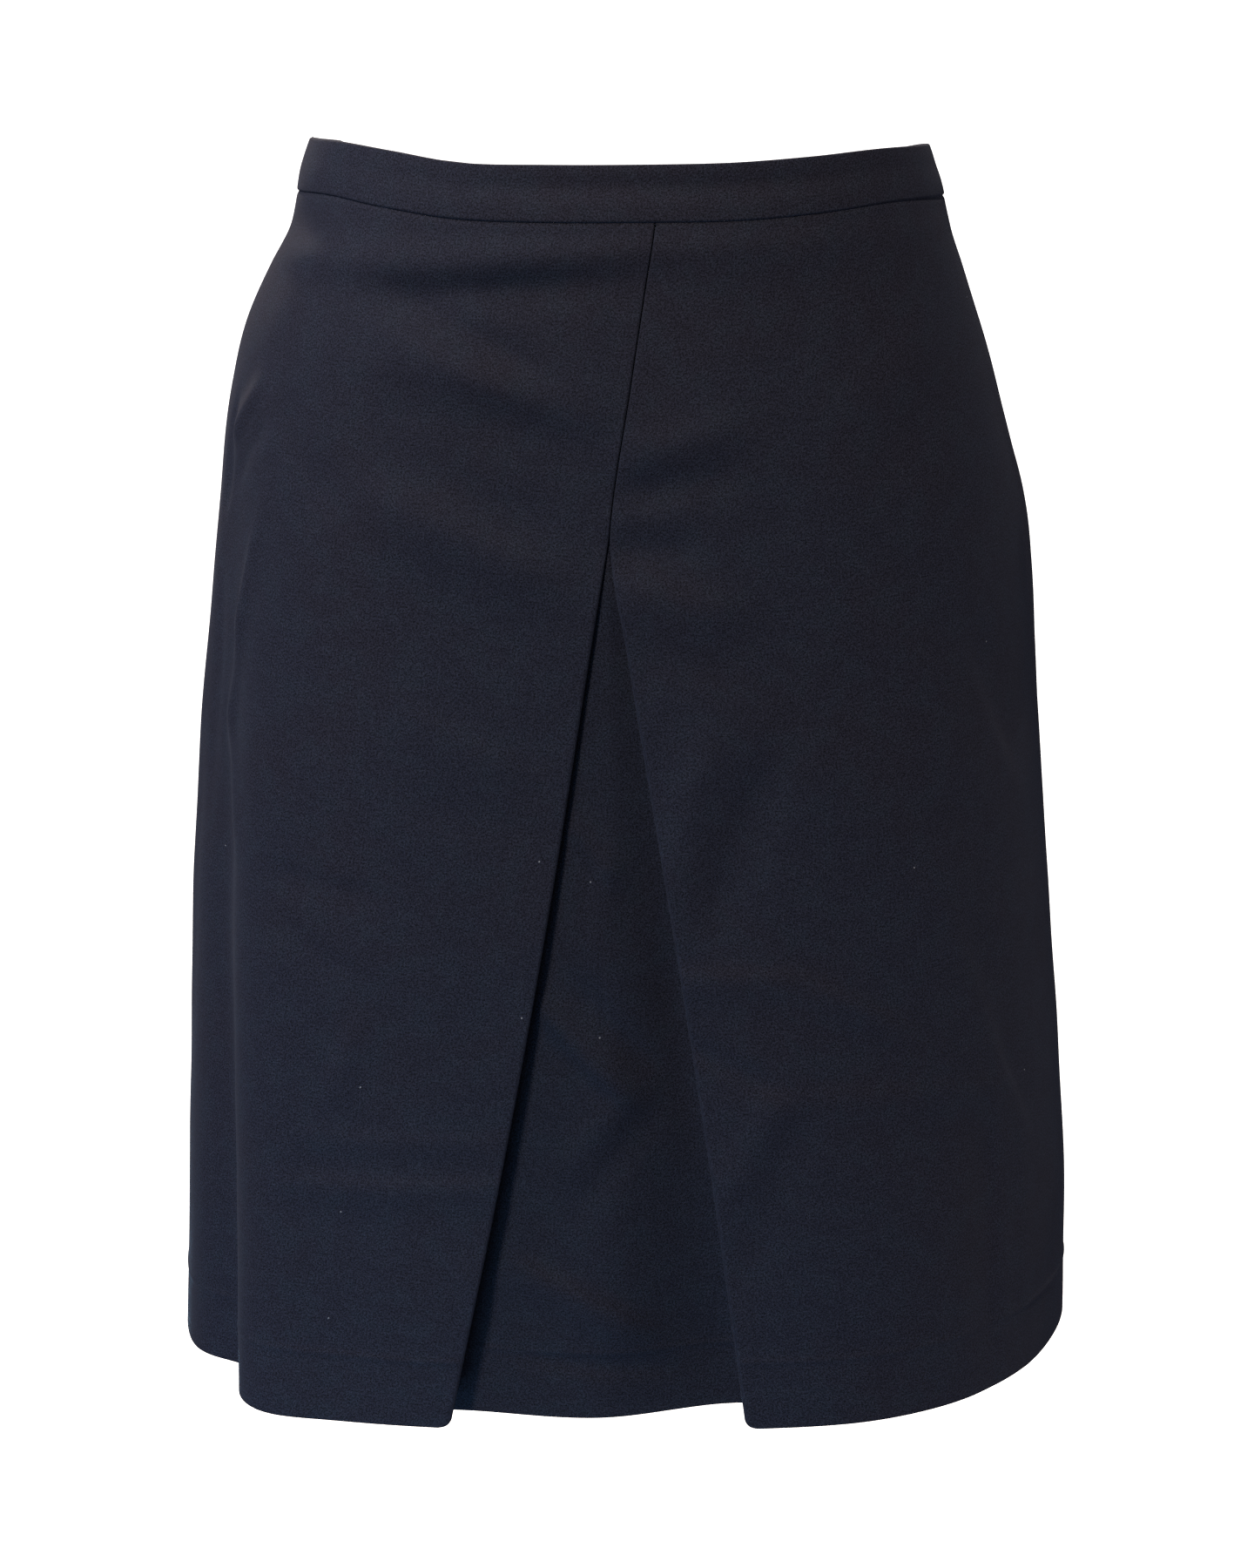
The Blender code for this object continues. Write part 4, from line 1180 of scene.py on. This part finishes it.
def hem_stitches(surface, columns):
    """Blind hemming inside: stitches that slant up over the hem's raw edge, on the given
    columns of a panel."""
    above, below = HEM_STITCH_ENDS
    share = (PANEL_LENGTH - HEM_ALLOWANCE - np.array([[above], [below]])) / PANEL_LENGTH
    lines = laid(surface, share, np.array([[TWILL + 0.1], [2 * HEM_ROLL + 0.1]]))
    panel_line, hem_line = lines[0, columns], lines[1, columns]
    run = run_length(hem_line[None], 1)[0]
    at = np.arange(3.0, run[-1] - 3.0, HEM_STITCH_PITCH)
    low, high = read_along(hem_line, run, at), read_along(panel_line, run, at + above)
    return low[:, None] + (high - low)[:, None] * np.linspace(0.0, 1.0, 5)[None, :, None]


def inside_line(angle, level, depth, creased=1.0):
    """A line inside the skirt and the direction away from the cloth, towards the body."""
    away = form(angle, level, 3.0) - form(angle, level, 2.0)
    return form(angle, level, depth, creased=creased), away


def build_inside():
    """Seam allowances, hem stitches, zip and its stitching."""
    for side, side_name in ((-1, "right"), (1, "left")):
        for toward, panel in ((-1, "front"), (1, "back")):
            allowance(f"side_allowance_{panel}_{side_name}", side * SIDE_SEAM, side * toward,
                      -0.4 * toward)
        allowance(f"centre_back_allowance_{side_name}", 180.0, -side, 0.4 * side)

    stitches = []
    for side in (-1, 1):
        face = slice(30, -8) if side > 0 else slice(8, -30)
        stitches.append(hem_stitches(front_surface(side), face))
        stitches.append(hem_stitches(back_surface(side), slice(6, -6)))
    stitches.append(hem_stitches(underlay_surface, slice(6, -6)))
    tubes("hem_stitches", np.concatenate(stitches), HEM_THREAD, THREAD_FINISH)

    inner, outer = TAPE_EDGES
    zip_tape("zip_tape_left", inner, outer)
    zip_tape("zip_tape_right", -outer, -inner)
    coil = tubes("zip_coil_teeth", coil_paths(), COIL_WIRE, COIL_FINISH, sides=6)
    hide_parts("zip_coil")

    rows = []
    level = np.linspace(waist_line("seam", 180.0) - 2.0, ZIP_END + 3.0, 120)
    for place in TAPE_STITCH_PLACES:
        line = inside_line(zip_angle(place, level), level, zip_depth(level) + TAPE_CLOTH + 0.08)
        rows.append(stitch_row(*line, **TAPE_STITCH))
    angle = np.linspace(-178.6, 178.6, 900)
    on_facing = BAND_CLOTH - BAND_PROUD + 0.06
    level = waist_line("seam", angle) + FACING_STITCH_RISE
    line = inside_line(angle, level, on_facing, creased=0.0)
    rows.append(stitch_row(*line, **FACING_STITCH))
    sewing = np.concatenate(rows)
    tubes("zip_and_facing_stitches", sewing, SEWING_THREAD, THREAD_FINISH)

    for node in ("zip_slider", "zip_pull", "zip_stop"):
        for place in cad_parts[node].material_slots:
            place.material = METAL_FINISH


# ------------------------------------------------------------------------- stage, light, camera

FLOOR_LEVEL = -2000.0
FLOOR_COLOUR = (0.92, 0.92, 0.92)
PAPER_GLOW = 1.0                # the paper's own wash of light, which makes it white
ROOM_RADIUS = 6300.0
FLOOR_CURVE = 1500.0            # the floor curves up into the wall with this radius
WALL_TOP = 500.0                # and the wall into a dome above this level


def pale_room():
    """Pale floor, wall and dome round the skirt: one profile turned about the upright axis.
    Its light stays off the cloth, which only the lamps and the even light from all round
    reach."""
    finish = Finish("pale_paper", Specular_IOR_Level=0.1, Emission_Color=(1.0, 1.0, 1.0, 1.0),
                    Emission_Strength=PAPER_GLOW)
    grain = finish.noise(object_place(finish), 0.01, 3.0)
    finish.colour(finish.mix(grain, tuple(c * 0.985 for c in FLOOR_COLOUR), FLOOR_COLOUR))
    finish.roughness(0.85 + grain * 0.05)
    corner = np.linspace(0.0, math.pi / 2, 13)
    dome = np.linspace(0.0, 0.4999 * math.pi, 19)
    flat = ROOM_RADIUS - FLOOR_CURVE
    radius = np.concatenate([[1.0, flat / 2], flat + FLOOR_CURVE * np.sin(corner),
                             ROOM_RADIUS * np.cos(dome)])
    level = np.concatenate([[0.0, 0.0], FLOOR_CURVE * (1 - np.cos(corner)),
                            WALL_TOP - FLOOR_LEVEL + ROOM_RADIUS * np.sin(dome)]) + FLOOR_LEVEL
    turn = np.linspace(0.0, 2 * math.pi, 64, endpoint=False)[:, None]
    points = np.stack([radius * np.cos(turn), radius * np.sin(turn),
                       np.broadcast_to(level, (len(turn), len(level)))], axis=-1)
    index = np.arange(points.shape[0] * points.shape[1]).reshape(points.shape[:2])
    beside = np.roll(index, -1, axis=0)
    faces = np.stack([index[:, :-1], beside[:, :-1], beside[:, 1:], index[:, 1:]], axis=-1)
    room = mesh_piece("pale_room", points.reshape(-1, 3), faces.reshape(-1, 4).tolist(),
                      finish.material)
    room.visible_diffuse = False
    room.visible_glossy = False
    room.visible_shadow = False


def softbox(name, place, size, power, colour):
    """A square area light that looks at the middle of the skirt."""
    light = bpy.data.lights.new(name, "AREA")
    light.shape = "SQUARE"
    light.size = size
    light.energy = power
    light.color = colour
    lamp = bpy.data.objects.new(name, light)
    bpy.context.scene.collection.objects.link(lamp)
    lamp.location = place
    lamp.visible_camera = False
    toward = np.array(LIT_MIDDLE) - np.array(place)
    flat = math.hypot(toward[0], toward[1])
    lamp.rotation_euler = (math.atan2(flat, -toward[2]), 0.0, math.atan2(-toward[0], toward[1]))


# Lamps: azimuth from the front (the picture's left is negative), height angle, distance and
# size in metres, power in watts, and colour.
LAMP_COLUMNS = ("azimuth", "height", "distance", "size", "power", "colour")
LAMPS = {
    "key": (-16, 46, 5.0, 0.50, 318.0, (1.0, 0.85, 0.72)),
    "front_low": (-26, -42, 0.95, 0.30, 4.8, (0.32, 0.66, 1.0)),
    "wash_left": (-82, 46, 1.8, 0.9, 36.0, (0.79, 0.80, 0.96)),
    "wash_right": (84, -20, 2.0, 0.9, 12.0, (0.82, 0.82, 1.0)),
    "back_key": (-164, 46, 5.0, 0.50, 318.0, (1.0, 0.85, 0.72)),
    "back_low": (-154, -42, 0.95, 0.30, 4.8, (0.32, 0.66, 1.0)),
}
ROOM = ((0.86, 0.86, 1.0), 0.22)  # colour and strength of the light from all round
LIT_MIDDLE = (0.0, 0.0, -0.27)  # the lamps look here


def studio():
    """Soft studio light: an even light from all round, and the lamps."""
    world = bpy.data.worlds.new("even_light")
    world.use_nodes = True
    tree = world.node_tree
    background = tree.nodes["Background"]
    colour, strength = ROOM
    background.inputs["Color"].default_value = (*colour, 1.0)
    background.inputs["Strength"].default_value = strength
    bpy.context.scene.world = world
    for name, row in LAMPS.items():
        lamp = dict(zip(LAMP_COLUMNS, row))
        turn, rise = math.radians(lamp["azimuth"]), math.radians(lamp["height"])
        toward = (math.sin(turn) * math.cos(rise), -math.cos(turn) * math.cos(rise), math.sin(rise))
        place = [m + lamp["distance"] * t for m, t in zip(LIT_MIDDLE, toward)]
        softbox(name, place, lamp["size"], lamp["power"], lamp["colour"])
    bpy.context.scene.view_settings.view_transform = "Standard"


CAMERA_PLACE = (0.0037, -1.545, 0.058)
CAMERA_DOWN = 12.765            # degrees below level
LENS = 77.09                    # mm, for the 36 mm sensor along the picture's long side


def camera():
    """The photograph's own viewpoint."""
    eye = bpy.data.cameras.new("photo_camera")
    eye.lens = LENS
    eye.sensor_width = 36.0
    holder = bpy.data.objects.new("photo_camera", eye)
    holder.location = CAMERA_PLACE
    holder.rotation_euler = (math.radians(90.0 - CAMERA_DOWN), 0.0, 0.0)
    bpy.context.scene.collection.objects.link(holder)
    bpy.context.scene.camera = holder


def build():
    """Make every piece, in the order in which the skirt is sewn."""
    band("waistband_front", -SIDE_SEAM, SIDE_SEAM)
    band("waistband_back_left", SIDE_SEAM, 180.0, notch=1)
    band("waistband_back_right", -180.0, -SIDE_SEAM, notch=-1)
    panel("front_right", front_surface(-1), ["waistband_front_cloth"], -1 - FOLD_COLUMN, ["last"])
    panel("front_left", front_surface(1), ["waistband_front_cloth"], FOLD_COLUMN, ["first"])
    # The underlay wears the darker twill copy, which paints the shade of its recess.
    panel("pleat_underlay", underlay_surface, ["front_left_cloth", "front_right_cloth"],
          UNDERLAY_MIDDLE, ["first", "last"], UNDERLAY_SHADED_FINISH)
    panel("back_right", back_surface(-1), ["waistband_back_right_cloth"], ROLL_COLUMNS)
    panel("back_left", back_surface(1), ["waistband_back_left_cloth"], -1 - ROLL_COLUMNS)
    build_inside()


build()
pale_room()
studio()
camera()
